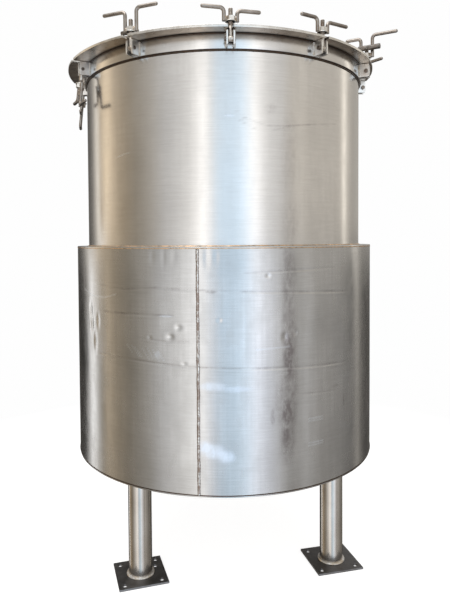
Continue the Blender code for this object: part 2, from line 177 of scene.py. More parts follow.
NUT_BORE_EDGE = 1.0 * MM
NUT_FACE = 0.97
NUT_CHAMFER = 30.0
NUT_STEPS = 48
WASHER_RADIUS = 16 * MM
WASHER_THICKNESS = 2.5 * MM
WASHER_STEPS = 40
ROD_RADIUS = 5.5 * MM
ROD_SPACING = 38 * MM
ROD_SIDES = 20
BEND_RADIUS = 12 * MM
BEND_STEPS = 8
DOME_END_STEPS = 4
ROD_LUMP = (3.6 * MM, 3.6 * MM, 7.6 * MM)
ROD_LUMP_INSET = 4.6 * MM
ROD_LUMP_OFFSET = 3.2 * MM
ROD_LUMP_LEVEL = 0.48
BAR_LUMP = (3.4 * MM, 2.6 * MM, 4.6 * MM)

# A handle has the turn of its arms from the rim's tangent in degrees, and for its
# right and left rod the rise over the nut and the arm's length in millimetres. A
# bar lies beside the rods: its height, its offset, its two ends and its radius.
Bar = namedtuple("Bar", "height offset near far radius")
UPPER_BAR = Bar(28.5, -14.9, -24, 48, 9)
LOWER_BAR = Bar(8.5, 17.5, -43, 14, 7)
Handle = namedtuple("Handle", "turn rises arms bar", defaults=[None])
LOW_RISES = (18, 24)
TALL_RISES = (54, 46)
PLAIN_ARMS = (58, 58)
HANDLES = {
    "front": Handle(11.5, (17.5, 23), (57, 54)),
    "front_right": Handle(-2.5, (19.5, 25), (68, 51)),
    "right_front": Handle(-97, (57.5, 51), (70, 40), UPPER_BAR),
    "right": Handle(33, (18, 26), (58, 64)),
    "right_back": Handle(-9, TALL_RISES, PLAIN_ARMS),
    "back_right": Handle(12, LOW_RISES, PLAIN_ARMS),
    "back": Handle(4, LOW_RISES, PLAIN_ARMS),
    "back_left": Handle(-13, TALL_RISES, PLAIN_ARMS),
    "left_back": Handle(7, LOW_RISES, PLAIN_ARMS),
    "left": Handle(-15, (30, 67), PLAIN_ARMS),
    "left_front": Handle(0, (59, 37), (60, 40)),
    "front_left": Handle(8, (54, 46.5), (58, 65), LOWER_BAR),
}

# Legs and feet
LEG_CIRCLE = 438 * MM
LEG_RADIUS = 36.5 * MM
LEG_WALL = 5 * MM
FOOT_SIDE = 152.4 * MM
FOOT_HOLE_SPACING = 114 * MM
FOOT_HOLE_RADIUS = 7 * MM
FOOT_HOLE_STEPS = 24
FOOT_EDGE = 1.5 * MM
LEG_STEPS = 72
LEG_ROW = 30 * MM
Leg = namedtuple("Leg", "azimuth foot_turn extra_hole", defaults=[None])
LEGS = {
    "front_left": Leg(-37.7, 17.5, (50 * MM, 22 * MM)),
    "front_right": Leg(52.3, 14.3),
    "back_right": Leg(142.3, 16.0),
    "back_left": Leg(-142.3, 16.0),
}

# Marks on the sheet. Azimuths are in degrees, heights in metres, and the rest in
# millimetres.
SEAM_AZIMUTH = -8.1
Dent = namedtuple("Dent", "azimuth height wide tall depth")
JACKET_DENTS = [
    Dent(-14.2, 0.805, 8, 7, 1.8),
    Dent(-16.9, 0.777, 9, 8, 2.2),
    Dent(-24.2, 0.772, 5.5, 4.5, 1.0),
    Dent(-12.4, 0.702, 5.5, 4.5, 1.4),
    Dent(-53.6, 0.835, 8, 22, 1.0),
    Dent(-52.6, 0.790, 8, 24, 1.2),
    Dent(-48.3, 0.803, 6.5, 20, 1.2),
    Dent(-50.4, 0.740, 8, 26, 1.4),
    Dent(-23.0, 1.006, 7, 18, 0.4),
    Dent(-19.0, 1.006, 6, 26, 0.6),
    Dent(-15.5, 1.006, 7, 20, 0.5),
    Dent(-5.3, 1.004, 7, 28, 0.6),
    Dent(-2.2, 1.006, 6, 18, 0.4),
    Dent(-1.4, 0.827, 5, 5, 1.1),
    Dent(13.8, 0.951, 5, 5, 1.1),
    Dent(19.3, 0.774, 7, 10, 1.6),
    Dent(23.0, 0.785, 6, 9, 1.0),
]
# A crease's shade is how dark the painted shade is along its upper flank
Crease = namedtuple("Crease", "points depth half_height shade")
JACKET_CREASES = [
    Crease(((-47, 0.916), (-34, 0.907), (-22, 0.915), (-13, 0.912), (0, 0.907), (21, 0.902), (47, 0.892)),
           0.45, 2.8, 0.40),
    Crease(((-45, 0.835), (-28, 0.836), (-16, 0.8365)), 0.9, 3.0, 0.50),
    Crease(((-29, 0.769), (-19, 0.762), (-9, 0.765)), 0.6, 2.8, 0.30),
    Crease(((-50, 0.706), (-30, 0.702), (-9, 0.692), (18, 0.6855), (46, 0.676)), 0.7, 3.0, 0.35),
    Crease(((6, 0.957), (21, 0.963), (40, 0.968)), 0.3, 2.8, 0.25),
    Crease(((21, 0.606), (42, 0.595)), 0.45, 2.8, 0.25),
]
SHELL_CREASES = [
    Crease(((3.4, 1.443), (5.3, 1.393), (11.8, 1.361)), 0, 2.2, 0.30),
    Crease(((7.3, 1.3975), (14.9, 1.377), (21.9, 1.378), (45.6, 1.405)), 0, 2.2, 0.40),
    Crease(((16.9, 1.363), (21.8, 1.3735)), 0, 2.2, 0.30),
]
# The sheet rises a little beside a dent and under a crease: the lip's share of the
# depth, and its distance in dent or crease widths. A crease fades over some degrees.
DENT_LIP, DENT_LIP_PLACE = 0.12, 1.9
CREASE_LIP, CREASE_LIP_PLACE, CREASE_FADE = 0.55, 1.7, 9.0
WAVE_LENGTH = 150 * MM
SHELL_WAVE, JACKET_WAVE = 0.16 * MM, 0.28 * MM
Smudge = namedtuple("Smudge", "azimuth height wide tall amount")
# Dark marks: handling dirt, painted shade along the creases at 0.836 and 0.907 m, and an upright streak near
# 21 degrees that is a painted dark reflection
JACKET_SMUDGES_AND_SHADE = [
    Smudge(20.8, 0.960, 22, 90, 0.50),
    Smudge(20.6, 0.790, 23, 110, 0.56),
    Smudge(21.0, 0.640, 26, 120, 0.52),
    Smudge(20.2, 0.500, 24, 95, 0.52),
    Smudge(20.7, 0.708, 12, 44, 0.40),
    Smudge(20.3, 0.560, 12, 40, 0.40),
    Smudge(19.6, 0.480, 9, 40, 0.35),
    Smudge(15.2, 0.549, 7, 22, 0.50),
    Smudge(17.5, 0.590, 18, 60, 0.25),
    Smudge(-3.9, 0.907, 15, 5, 0.55),
    Smudge(44.2, 0.562, 4, 20, 0.60),
    Smudge(39.5, 0.611, 18, 5, 0.35),
    Smudge(-36, 0.836, 36, 5, 0.25),
    Smudge(-8.1, 0.60, 8, 240, 0.18),
]
# Bright marks: fresh rubs, and a thin bright line at the right end of the crease at 0.836 m, which is a
# painted highlight
JACKET_RUBS_AND_HIGHLIGHT = [
    Smudge(-6.3, 0.470, 20, 15, 0.70),
    Smudge(-3.6, 0.455, 32, 20, 0.85),
    Smudge(0.4, 0.440, 24, 17, 0.80),
    Smudge(-3.5, 0.640, 36, 12, 0.65),
    Smudge(3.5, 0.632, 40, 8, 0.50),
    Smudge(-21.5, 0.724, 10, 12, 0.45),
    Smudge(-18.5, 0.836, 20, 3, 0.90),
]
# Dark marks: a dark blotch, and an upright streak near 24 degrees that is a painted dark reflection
SHELL_SMUDGES_AND_REFLECTION = [
    Smudge(16.6, 1.429, 14, 16, 0.25),
    Smudge(23.5, 1.31, 28, 120, 0.16),
    Smudge(24.0, 1.10, 26, 66, 0.22),
]
JACKET_SCRATCHES = [
    ((28, 0.529), (33.8, 0.528)),
    ((28, 0.522), (33.8, 0.521)),
    ((28, 0.458), (33.8, 0.457)),
    ((28, 0.450), (33.8, 0.450)),
    ((-31.2, 0.744), (-27.9, 0.711)),
    ((-30.0, 0.742), (-27.3, 0.715)),
    ((-33.4, 0.748), (-30.8, 0.722)),
    ((-27.2, 0.742), (-24.4, 0.708)),
    ((-25.4, 0.744), (-23.0, 0.712)),
    ((-23.2, 0.738), (-20.6, 0.706)),
    ((-21.4, 0.734), (-19.2, 0.708)),
    ((-60, 0.897), (-52, 0.880), (-44, 0.879), (-38, 0.892)),
    ((10, 0.742), (21, 0.747)),
]
SHELL_SCRATCHES = [
    ((-42.5, 1.3065), (-35.5, 1.316)),
    ((0.4, 1.406), (3.8, 1.403)),
]
SCRATCH_HEIGHT, SCRATCH_SHARE = 1.8 * MM, 0.55

# The photograph's camera, in pixels, metres, radians and millimetres of sensor
IMAGE_WIDTH, IMAGE_HEIGHT = 450, 600
FOCAL_PIXELS = 571.9
CENTRE_X, CENTRE_Y = 218.67, 258.33
CAMERA_PLACE = (0.0, -2.117, 1.052)
CAMERA_PITCH, CAMERA_YAW, CAMERA_ROLL = -0.0320, 0.0086, -0.0067
SENSOR = 36.0
CLIP_START = 0.05


# Shapes


def around(azimuth, radius, height):
    """Returns the point at an azimuth in degrees, a radius and a height."""
    angle = math.radians(azimuth)
    return Vector((radius * math.sin(angle), -radius * math.cos(angle), height))


def azimuth_of(point):
    """Returns a point's azimuth in degrees."""
    return math.degrees(math.atan2(point.x, -point.y))


def only(kind, items):
    """Returns the items of one kind, such as the vertices that an operator made."""
    return [item for item in items if isinstance(item, kind)]


def spun(outline, steps, start=-180.0, sweep=360.0, closed=True):
    """Spins an outline of (radius, height) points about the tank's axis.

    A long sweep is one sector by the operator and then turned copies of it, which
    is much faster than one spin.
    """
    sectors = next(count for count in (24, 12, 6, 2) if steps % count == 0)
    bm = bmesh.new()
    verts = [bm.verts.new(around(start, radius, height)) for radius, height in outline]
    edges = [bm.edges.new(pair) for pair in zip(verts, verts[1:])]
    if closed:
        edges.append(bm.edges.new((verts[-1], verts[0])))
    bmesh.ops.spin(bm, geom=verts + edges, cent=(0.0, 0.0, 0.0), axis=(0.0, 0.0, 1.0),
                   angle=math.radians(sweep / sectors), steps=steps // sectors)
    sector = bm.verts[:] + bm.edges[:] + bm.faces[:]
    for number in range(1, sectors):
        turn = Matrix.Rotation(math.radians(sweep * number / sectors), 3, "Z")
        copy = only(bmesh.types.BMVert, bmesh.ops.duplicate(bm, geom=sector)["geom"])
        bmesh.ops.rotate(bm, verts=copy, matrix=turn)
    bmesh.ops.remove_doubles(bm, verts=bm.verts, dist=MERGE_DISTANCE)
    bmesh.ops.recalc_face_normals(bm, faces=bm.faces)
    return bm


def take_in(bm, part):
    """Adds a bmesh to another one, and frees it."""
    mesh = bpy.data.meshes.new("part")
    part.to_mesh(mesh)
    part.free()
    bm.from_mesh(mesh)
    bpy.data.meshes.remove(mesh)


def merged(*parts):
    """Joins bmeshes and welds the places where they meet."""
    bm = parts[0]
    for part in parts[1:]:
        take_in(bm, part)
    bmesh.ops.remove_doubles(bm, verts=bm.verts, dist=MERGE_DISTANCE)
    bmesh.ops.recalc_face_normals(bm, faces=bm.faces)
    return bm


def soften(bm, width, segments=2, sharper_than=40.0):
    """Rounds every edge that is sharper than an angle in degrees."""
    limit = math.radians(sharper_than)
    edges = [edge for edge in bm.edges if len(edge.link_faces) == 2 and edge.calc_face_angle() > limit]
    bmesh.ops.bevel(bm, geom=edges, offset=width, offset_type="OFFSET", segments=segments,
                    profile=0.5, affect="EDGES", clamp_overlap=True, material=-1)
    return bm


def moved(bm, matrix):
    """Moves a bmesh by a matrix."""
    bmesh.ops.transform(bm, matrix=matrix, verts=bm.verts)
    return bm


def plate(outlines, bottom, top):
    """Cuts a flat plate from its outer outline and the outlines of its holes."""
    bm = bmesh.new()
    edges = []
    for outline in outlines:
        verts = [bm.verts.new((x, y, bottom)) for x, y in outline]
        edges += [bm.edges.new((verts[i - 1], verts[i])) for i in range(len(verts))]
    bmesh.ops.triangle_fill(bm, edges=edges, use_beauty=True)
    risen = bmesh.ops.extrude_face_region(bm, geom=list(bm.faces), use_keep_orig=True)
    bmesh.ops.translate(bm, verts=only(bmesh.types.BMVert, risen["geom"]), vec=(0.0, 0.0, top - bottom))
    bmesh.ops.recalc_face_normals(bm, faces=bm.faces)
    return bm


def bar(radius, start, end, sides):
    """Returns a round or many-sided bar between two points."""
    bm = bmesh.new()
    axis = Vector(end) - Vector(start)
    matrix = Matrix.Translation((Vector(start) + Vector(end)) / 2.0)
    matrix = matrix @ axis.to_track_quat("Z", "Y").to_matrix().to_4x4()
    bmesh.ops.create_cone(bm, cap_ends=True, segments=sides, radius1=radius, radius2=radius,
                          depth=axis.length, matrix=matrix)
    return bm


def block(size, centre):
    """Returns a rectangular block."""
    bm = bmesh.new()
    bmesh.ops.create_cube(bm, size=1.0, matrix=Matrix.Translation(centre) @ Matrix.Diagonal((*size, 1.0)))
    return bm


def drawn_on(bm, edges, step, count):
    """Draws the end loop of a bar on in a straight line, and returns the new end."""
    made = bmesh.ops.spin(bm, geom=edges, cent=(0.0, 0.0, 0.0), axis=(0.0, 0.0, 1.0), dvec=step,
                          angle=0.0, steps=count, use_duplicate=False)
    return only(bmesh.types.BMEdge, made["geom_last"])


def extended(bm, edges):
    """Extrudes a loop of edges in place, and returns the new loop's vertices and edges."""
    made = bmesh.ops.extrude_edge_only(bm, edges=edges)["geom"]
    verts = only(bmesh.types.BMVert, made)
    loop = [edge for edge in only(bmesh.types.BMEdge, made) if all(vert in verts for vert in edge.verts)]
    return verts, loop


def domed_end(bm, edges, direction, radius):
    """Closes the end loop of a bar with a dome."""
    for step in range(DOME_END_STEPS):
        before, after = (math.pi / 2.0 * (step + k) / DOME_END_STEPS for k in (0, 1))
        verts, edges = extended(bm, edges)
        centre = sum((vert.co for vert in verts), Vector()) / len(verts)
        shrink = max(math.cos(after), 0.05) / math.cos(before)
        rise = direction * radius * (math.sin(after) - math.sin(before))
        for vert in verts:
            vert.co = centre + (vert.co - centre) * shrink + rise
    bmesh.ops.contextual_create(bm, geom=edges)


def ripple(distance, across, pitch):
    """Returns the share of a weld bead's size at a distance along it, for its scales."""
    phase = (distance / pitch + RIPPLE_CURVE * across * across) % 1.0
    uneven = noise.noise(Vector((distance / pitch * 0.31, across, 7.3)))
    return 1.0 - RIPPLE_DEPTH + RIPPLE_DEPTH * math.sin(math.pi * phase) + RIPPLE_UNEVEN * uneven


def ring_bead(radius, height, bead):
    """Returns a rippled weld bead round the tank's axis, along a corner."""
    radius, height = radius + bead.out * MM, height + bead.up * MM
    half_width, half_rise, pitch = bead.half_width * MM, bead.half_rise * MM, bead.pitch * MM
    outline = []
    for step in range(BEAD_SIDES):
        angle = 2.0 * math.pi * step / BEAD_SIDES
        outline.append((radius + half_width * math.cos(angle), height + half_rise * math.sin(angle)))
    # The count of scales is a multiple of 8, so that spun can make it from sectors
    scales = 8 * round(2.0 * math.pi * radius / pitch / 8.0)
    bm = spun(outline, SCALE_STEPS * scales)
    for vert in bm.verts:
        azimuth = azimuth_of(vert.co)
        centre = around(azimuth, radius, height)
        across = (vert.co.z - height) / half_rise
        vert.co = centre + (vert.co - centre) * ripple(math.radians(azimuth) * radius, across, pitch)
    return bm


def seam_bead(azimuth, radius, low, high, bead):
    """Returns a rippled weld bead that stands upright on a wall."""
    half_width, pitch = bead.half_width * MM, bead.pitch * MM
    bm = bmesh.new()
    bmesh.ops.create_circle(bm, cap_ends=True, radius=1.0, segments=SEAM_SIDES)
    bmesh.ops.scale(bm, vec=(half_width, bead.half_rise * MM, 1.0), verts=bm.verts)
    bmesh.ops.translate(bm, vec=(0.0, 0.0, low), verts=bm.verts)
    count = int((high - low) / pitch) * SCALE_STEPS
    end = drawn_on(bm, list(bm.edges), (0.0, 0.0, (high - low) / count), count)
    bmesh.ops.contextual_create(bm, geom=end)
    for vert in bm.verts:
        share = ripple(vert.co.z, vert.co.x / half_width, pitch)
        wander = SEAM_WANDER * half_width * noise.noise(Vector((vert.co.z * 30.0, 0.0, 3.1)))
        vert.co.x = vert.co.x * share + wander
        vert.co.y *= share
    bmesh.ops.recalc_face_normals(bm, faces=bm.faces)
    turn = Matrix.Rotation(math.radians(azimuth), 4, "Z")
    return moved(bm, turn @ Matrix.Translation((0.0, -radius, 0.0)))


def weld_lump(centre, size, seed):
    """Returns a short, uneven weld between two bars."""
    bm = bmesh.new()
    bmesh.ops.create_icosphere(bm, subdivisions=2, radius=1.0)
    for vert in bm.verts:
        vert.co *= 1.0 + LUMP_UNEVEN * noise.noise(vert.co * 1.9 + Vector((seed, 0.0, 0.0)))
        vert.co.z *= 1.0 + LUMP_RIPPLE * math.sin(vert.co.z * 14.0)
    return moved(bm, Matrix.Translation(centre) @ Matrix.Diagonal((*size, 1.0)))


def along(points, azimuth):
    """Returns a crease's height at an azimuth, or None past its ends."""
    for (start, low), (end, high) in zip(points, points[1:]):
        if start <= azimuth <= end:
            return low + (high - low) * (azimuth - start) / (end - start)
    return None


def crease_depth(azimuth, height):
    """Returns how far the creases push the sheet in at a place."""
    depth = 0.0
    for crease in JACKET_CREASES:
        line = along(crease.points, azimuth)
        if line is None:
            continue
        off = (height - line) / (crease.half_height * MM)
        ends = min(azimuth - crease.points[0][0], crease.points[-1][0] - azimuth) / CREASE_FADE
        uneven = 1.0 + 0.7 * noise.noise(Vector((azimuth * 0.13, line, 0.0)))
        section = math.exp(-off * off) - CREASE_LIP * math.exp(-(off + CREASE_LIP_PLACE) ** 2)
        depth += crease.depth * MM * min(1.0, ends) * uneven * section
    return depth


def dent_depth(azimuth, height, radius):
    """Returns how far the dents push the sheet in at a place."""
    depth = 0.0
    for dent in JACKET_DENTS:
        wide = math.radians(azimuth - dent.azimuth) * radius / (dent.wide * MM)
        tall = (height - dent.height) / (dent.tall * MM)
        reach = wide * wide + tall * tall
        if reach < 12.0:
            lip = DENT_LIP * math.exp(-(math.sqrt(reach) - DENT_LIP_PLACE) ** 2)
            depth += dent.depth * MM * (math.exp(-reach) - lip)
    return depth


def crease_shade(creases, azimuth, height):
    """Returns how dark the painted shade is along a crease's upper flank. The shell's creases have no depth
    and only draw dark scratch lines.
    """
    shade = 0.0
    for crease in creases:
        line = along(crease.points, azimuth)
        if line is not None:
            off = (height - line) / (crease.half_height * MM) - 0.8
            patchy = 0.6 + 0.9 * noise.noise(Vector((azimuth * 0.21, line * 9.0, 2.0)))
            shade = max(shade, crease.shade * patchy * math.exp(-off * off))
    return shade


def smudge_amount(smudges, azimuth, height, radius):
    """Returns how strongly handling marks show at a place."""
    total = 0.0
    for smudge in smudges:
        wide = math.radians(azimuth - smudge.azimuth) * radius / (smudge.wide * MM)
        tall = (height - smudge.height) / (smudge.tall * MM)
        reach = (wide * wide + tall * tall) ** 2
        if reach < 9.0:
            total += smudge.amount * math.exp(-reach)
    return min(total, 1.0)


def scratch_amount(scratches, azimuth, height):
    """Returns how strongly a bright scratch shows at a place."""
    amount = 0.0
    for points in scratches:
        line = along(points, azimuth)
        if line is not None:
            amount = max(amount, SCRATCH_SHARE * math.exp(-((height - line) / SCRATCH_HEIGHT) ** 2))
    return amount


def mark_sheet(bm, radius, smudges, rubs, scratches, creases):
    """Writes the dark marks, which hold painted shade and a painted dark reflection, and the bright marks,
    which hold a painted highlight, on a sheet as two float attributes.
    """
    smudge = bm.verts.layers.float.new("smudge")
    rub = bm.verts.layers.float.new("rub")
    for vert in bm.verts:
        azimuth, height = azimuth_of(vert.co), vert.co.z
        dark = smudge_amount(smudges, azimuth, height, radius) + crease_shade(creases, azimuth, height)
        vert[smudge] = min(1.0, dark)
        bright = smudge_amount(rubs, azimuth, height, radius) + scratch_amount(scratches, azimuth, height)
        vert[rub] = min(1.0, bright)


def spread(low, high, pitch):
    """Returns evenly spread heights from low up to, but not including, high."""
    count = max(1, round((high - low) / pitch))
    return [low + (high - low) * i / count for i in range(count)]


# Materials


def linear(code):
    """Turns an sRGB hex colour into the linear colour that Blender takes."""
    channels = []
    for place in (0, 2, 4):
        value = int(code[place:place + 2], 16) / 255.0
        channels.append(value / 12.92 if value <= 0.04045 else ((value + 0.055) / 1.055) ** 2.4)
    return (*channels, 1.0)


def fill(tree, node, inputs):
    """Sets or links a node's inputs by name or number."""
    for key, value in inputs.items():
        if isinstance(value, bpy.types.NodeSocket):
            tree.links.new(value, node.inputs[key])
        else:
            node.inputs[key].default_value = value


def add_node(tree, kind, inputs=None, output=0, **settings):
    """Adds a node, sets its fields, fills its inputs and returns one of its outputs."""
    made = tree.nodes.new("ShaderNode" + kind)
    for field, value in settings.items():
        setattr(made, field, value)
    fill(tree, made, inputs or {})
    return made.outputs[output]


def new_material(name):
    """Returns a material and its tree, shader and object coordinates."""
    material = bpy.data.materials.new(name)
    material.use_nodes = True
    tree = material.node_tree
    shader = tree.nodes["Principled BSDF"]
    return material, tree, shader, add_node(tree, "TexCoord", output="Object")


# Where noise starts and stops to count, as it seldom leaves these levels, and the
# whole range of a mark that was drawn from 0 to 1
MIDDLE = (0.3, 0.7)
WHOLE = (0.0, 1.0)


def pattern(tree, place, cell, detail=3.0, rough=0.55):
    """Returns noise whose cells have a size in millimetres along X, Y and Z."""
    stretched = add_node(tree, "Mapping", {"Vector": place, "Scale": [1.0 / (size * MM) for size in cell]})
    return add_node(tree, "TexNoise", {"Vector": stretched, "Scale": 1.0, "Detail": detail,
                                       "Roughness": rough}, "Fac")


def tinted(tree, colour, source, tint, share=1.0, reach=MIDDLE):
    """Lays a tint over a colour, up to its full share where a pattern is strongest."""
    amount = add_node(tree, "MapRange", {0: source, 1: reach[0], 2: reach[1], 3: 0.0, 4: share})
    return add_node(tree, "Mix", {0: amount, 6: colour, 7: linear(tint)}, 2, data_type="RGBA")


def varied(tree, level, source, low, high, reach=MIDDLE):
    """Adds to a level what a pattern gives there, from low to high."""
    amount = add_node(tree, "MapRange", {0: source, 1: reach[0], 2: reach[1], 3: low, 4: high})
    return add_node(tree, "Math", {0: level, 1: amount}, operation="ADD")


def drawn_marks(tree, name, source, low, high, reach):
    """Returns the marks of a mesh attribute, made ragged by a pattern."""
    marks = add_node(tree, "Attribute", output="Fac", attribute_name=name)
    ragged = add_node(tree, "MapRange", {0: source, 1: reach[0], 2: reach[1], 3: low, 4: high})
    return add_node(tree, "Math", {0: marks, 1: ragged}, operation="MULTIPLY", use_clamp=True)


# Colours that several finishes share
GRAIN_SHADE = "8E8A86"
# Handling dirt, and painted shade and a painted dark reflection on the sheet
DIRT_AND_PAINTED_SHADE = "5D5153"
# Fresh rubs, and a painted highlight at a crease's end
RUB_AND_PAINTED_HIGHLIGHT = "DEE6F2"
HEAT_BROWN = "8A6447"
SOOT_AND_SHADE = "2B2622"
RUBBED_IRON = "7C7873"
RUST = "6A4A35"


def rolled_stainless(name, base, shade, roughness, scuff):
    """Cold-rolled stainless sheet, cleaned with a pad round the tank.

    The pad's fine rings of grain spread a reflection upright and keep it narrow
    sideways. Wiping leaves faint upright streaks and cloudy, duller patches. The dark
    marks are handling dirt with painted shade and a painted dark reflection, and the
    bright marks hold a painted highlight.
    """
    material, tree, shader, place = new_material(name)
    cloud = pattern(tree, place, (143, 143, 250), 4.0)
    streak = pattern(tree, place, (10.5, 10.5, 333))
    wear = pattern(tree, place, (33.3, 33.3, 71.4), 2.0)
    # The grain is about 0.2 mm wide and is drawn at 3 mm so that it shows
    grain = pattern(tree, place, (71.4, 71.4, 3.03), 3.0, 0.7)
    edges = pattern(tree, place, (14.3, 14.3, 25), 5.0, 0.65)
    # Dark marks: handling dirt, painted shade along the creases and a painted dark reflection
    dirt_and_shade = drawn_marks(tree, "smudge", edges, 0.15, 1.3, (0.32, 0.62))
    # Bright marks: fresh rubs, scratches and a painted highlight at a crease's end
    rubs_and_highlight = drawn_marks(tree, "rub", edges, 0.45, 1.2, (0.3, 0.6))
    colour = tinted(tree, linear(shade), cloud, base)
    colour = tinted(tree, colour, streak, shade, 0.5 * scuff)
    colour = tinted(tree, colour, wear, shade, 0.35 * scuff, (0.45, 0.7))
    colour = tinted(tree, colour, grain, GRAIN_SHADE, 0.19 * scuff)
    colour = tinted(tree, colour, dirt_and_shade, DIRT_AND_PAINTED_SHADE, 0.65, WHOLE)
    colour = tinted(tree, colour, rubs_and_highlight, RUB_AND_PAINTED_HIGHLIGHT, 0.8, WHOLE)
    dull = varied(tree, roughness, cloud, -0.03 * scuff, 0.04 * scuff)
    dull = varied(tree, dull, wear, -0.03 * scuff, 0.04 * scuff)
    dull = varied(tree, dull, rubs_and_highlight, 0.0, 0.20, WHOLE)
    dull = varied(tree, dull, dirt_and_shade, 0.0, 0.10, WHOLE)
    relief = add_node(tree, "Bump", {"Height": grain, "Strength": 0.15, "Distance": 0.012 * MM * scuff})
    rings = add_node(tree, "Tangent", direction_type="RADIAL", axis="Z")
    fill(tree, shader, {"Base Color": colour, "Roughness": dull, "Normal": relief, "Tangent": rings,
                        "Metallic": 1.0, "Anisotropic": 0.6, "Anisotropic Rotation": 0.25})
    return material


def machined_stainless(name, base, shade, roughness, tint=0.0, soot_and_shade_to=0.0):
    """Sawn, turned or drawn stainless bar: bright, with cutter marks and brown heat.

    The cutter's marks are about 0.3 mm apart, drawn at 2 mm so that they show. Painted
    shade and soot darken the plate from the band out to a radius, where one is given.
    """
    material, tree, shader, place = new_material(name)
    cloud = pattern(tree, place, (22.2, 22.2, 22.2))
    marks = pattern(tree, place, (2.08, 2.08, 8.33), 2.0)
    heat = pattern(tree, place, (26.3, 26.3, 26.3))
    colour = tinted(tree, linear(shade), cloud, base)
    colour = tinted(tree, colour, heat, HEAT_BROWN, tint, (0.48, 0.66))
    # Painted shade and soot darken the plate towards the band
    if soot_and_shade_to:
        level = add_node(tree, "Mapping", {"Vector": place, "Scale": (1.0, 1.0, 0.0)})
        radius = add_node(tree, "VectorMath", {0: level}, "Value", operation="LENGTH")
        colour = tinted(tree, colour, radius, SOOT_AND_SHADE, 1.0, (soot_and_shade_to, BAND_RADIUS))
    dull = varied(tree, roughness, cloud, -0.04, 0.05)
    dull = varied(tree, dull, marks, -0.01, 0.01)
    relief = add_node(tree, "Bump", {"Height": marks, "Strength": 0.1, "Distance": 0.004 * MM})
    fill(tree, shader, {"Base Color": colour, "Roughness": dull, "Normal": relief, "Metallic": 1.0})
    return material


def drawn_tube(name):
    """Drawn stainless pipe: satin, with light draw lines along it.

    The lines are about 0.5 mm apart, drawn at 4 mm so that they show.
    """
    material, tree, shader, place = new_material(name)
    cloud = pattern(tree, place, (62.5, 62.5, 111), 4.0)
    lines = pattern(tree, place, (3.85, 3.85, 200))
    colour = tinted(tree, linear("B9B3AC"), cloud, "CCC8C3")
    colour = tinted(tree, colour, lines, "9C948B", 0.25)
    relief = add_node(tree, "Bump", {"Height": lines, "Strength": 0.15, "Distance": 0.02 * MM})
    fill(tree, shader, {"Base Color": colour, "Roughness": varied(tree, 0.20, cloud, 0.0, 0.06),
                        "Normal": relief, "Metallic": 1.0})
    return material


def weld_metal(name, bright, dark, heated, frost=0.0):
    """Stick-welded stainless: bright scales, with straw and brown heat between them.

    Frost is the share of pale, dull oxide skin that brushing leaves on the metal.
    """
    material, tree, shader, place = new_material(name)
    scales = pattern(tree, place, (4.55, 4.55, 4.55))
    heat = pattern(tree, place, (14.3, 14.3, 14.3))
    colour = tinted(tree, linear(dark), scales, bright)
    colour = tinted(tree, colour, heat, heated, 1.0, (0.42, 0.60))
    relief = add_node(tree, "Bump", {"Height": scales, "Strength": 0.5, "Distance": 0.2 * MM})
    fill(tree, shader, {"Base Color": colour, "Roughness": varied(tree, 0.30, scales, 0.0, 0.16),
                        "Normal": relief, "Metallic": 1.0 - frost})
    return material


def mill_scale_plate(name, base, shade, roughness):
    """Hot-rolled plate: dark, dull mill scale, with paler rubbed places and rusty specks.

    The specks are about 0.5 mm wide, drawn at 2.4 mm so that they show.
    """
    material, tree, shader, place = new_material(name)
    cloud = pattern(tree, place, (22.2, 22.2, 22.2), 5.0, 0.6)
    speck = pattern(tree, place, (2.38, 2.38, 2.38))
    rub = pattern(tree, place, (33.3, 7.14, 16.7), 4.0)
    colour = tinted(tree, linear(shade), cloud, base)
    colour = tinted(tree, colour, rub, RUBBED_IRON, 0.35, (0.52, 0.68))
    colour = tinted(tree, colour, speck, RUST, 0.30, (0.60, 0.72))
    dull = varied(tree, roughness, cloud, -0.08, 0.10)
    dull = varied(tree, dull, speck, -0.05, 0.05)
    relief = add_node(tree, "Bump", {"Height": speck, "Strength": 0.3, "Distance": 0.1 * MM})
    fill(tree, shader, {"Base Color": colour, "Roughness": dull, "Normal": relief, "Metallic": 1.0})
    return material


def sheet_rubber(name):
    """Moulded black sheet rubber: matt, with a fine skin and a little pale dust."""
    material, tree, shader, place = new_material(name)
    skin = pattern(tree, place, (1.67, 1.67, 1.67))
    dust = pattern(tree, place, (33.3, 33.3, 16.7), 4.0)
    colour = tinted(tree, linear("1C1C1B"), dust, "4A4844", 0.3, (0.5, 0.7))
    relief = add_node(tree, "Bump", {"Height": skin, "Strength": 0.3, "Distance": 0.05 * MM})
    fill(tree, shader, {"Base Color": colour, "Roughness": varied(tree, 0.55, dust, 0.0, 0.20),
                        "Normal": relief, "IOR": 1.52})
    return material


# Satin sheet with long soft reflections: name, base, shade, roughness and scuff
SHELL_SHEET = rolled_stainless("rolled_stainless_shell", "D4D2D0", "C6C4C2", 0.22, 0.7)
JACKET_SHEET = rolled_stainless("rolled_stainless_cladding", "CBCBCC", "B4B4B4", 0.24, 1.1)
LID_SHEET = rolled_stainless("rolled_stainless_lid", "CCCAC7", "BBB8B4", 0.30, 1.0)
# Plates: a pale cut edge, a darker brown underside in painted shade that goes to painted shade and soot at
# the band, and slot walls painted black as shade
RIM_PLATE = machined_stainless("sheared_stainless_plate", "D6D4D0", "BDB9B3", 0.27, 0.05)
RIM_UNDERSIDE_SHADE = machined_stainless("mill_finish_underside", "C6BBAD", "A1968A", 0.30, 0.2, SOOT_AND_SHADE_RADIUS)
# The slots' walls, painted nearly black as the shade inside the slots
SLOT_SHADE = machined_stainless("flame_cut_slot", "6E665F", "3C3632", 0.45, 0.4)
LUG_PLATE = machined_stainless("sawn_stainless_lug", "EBE9E6", "D0CDC9", 0.33, 0.2)
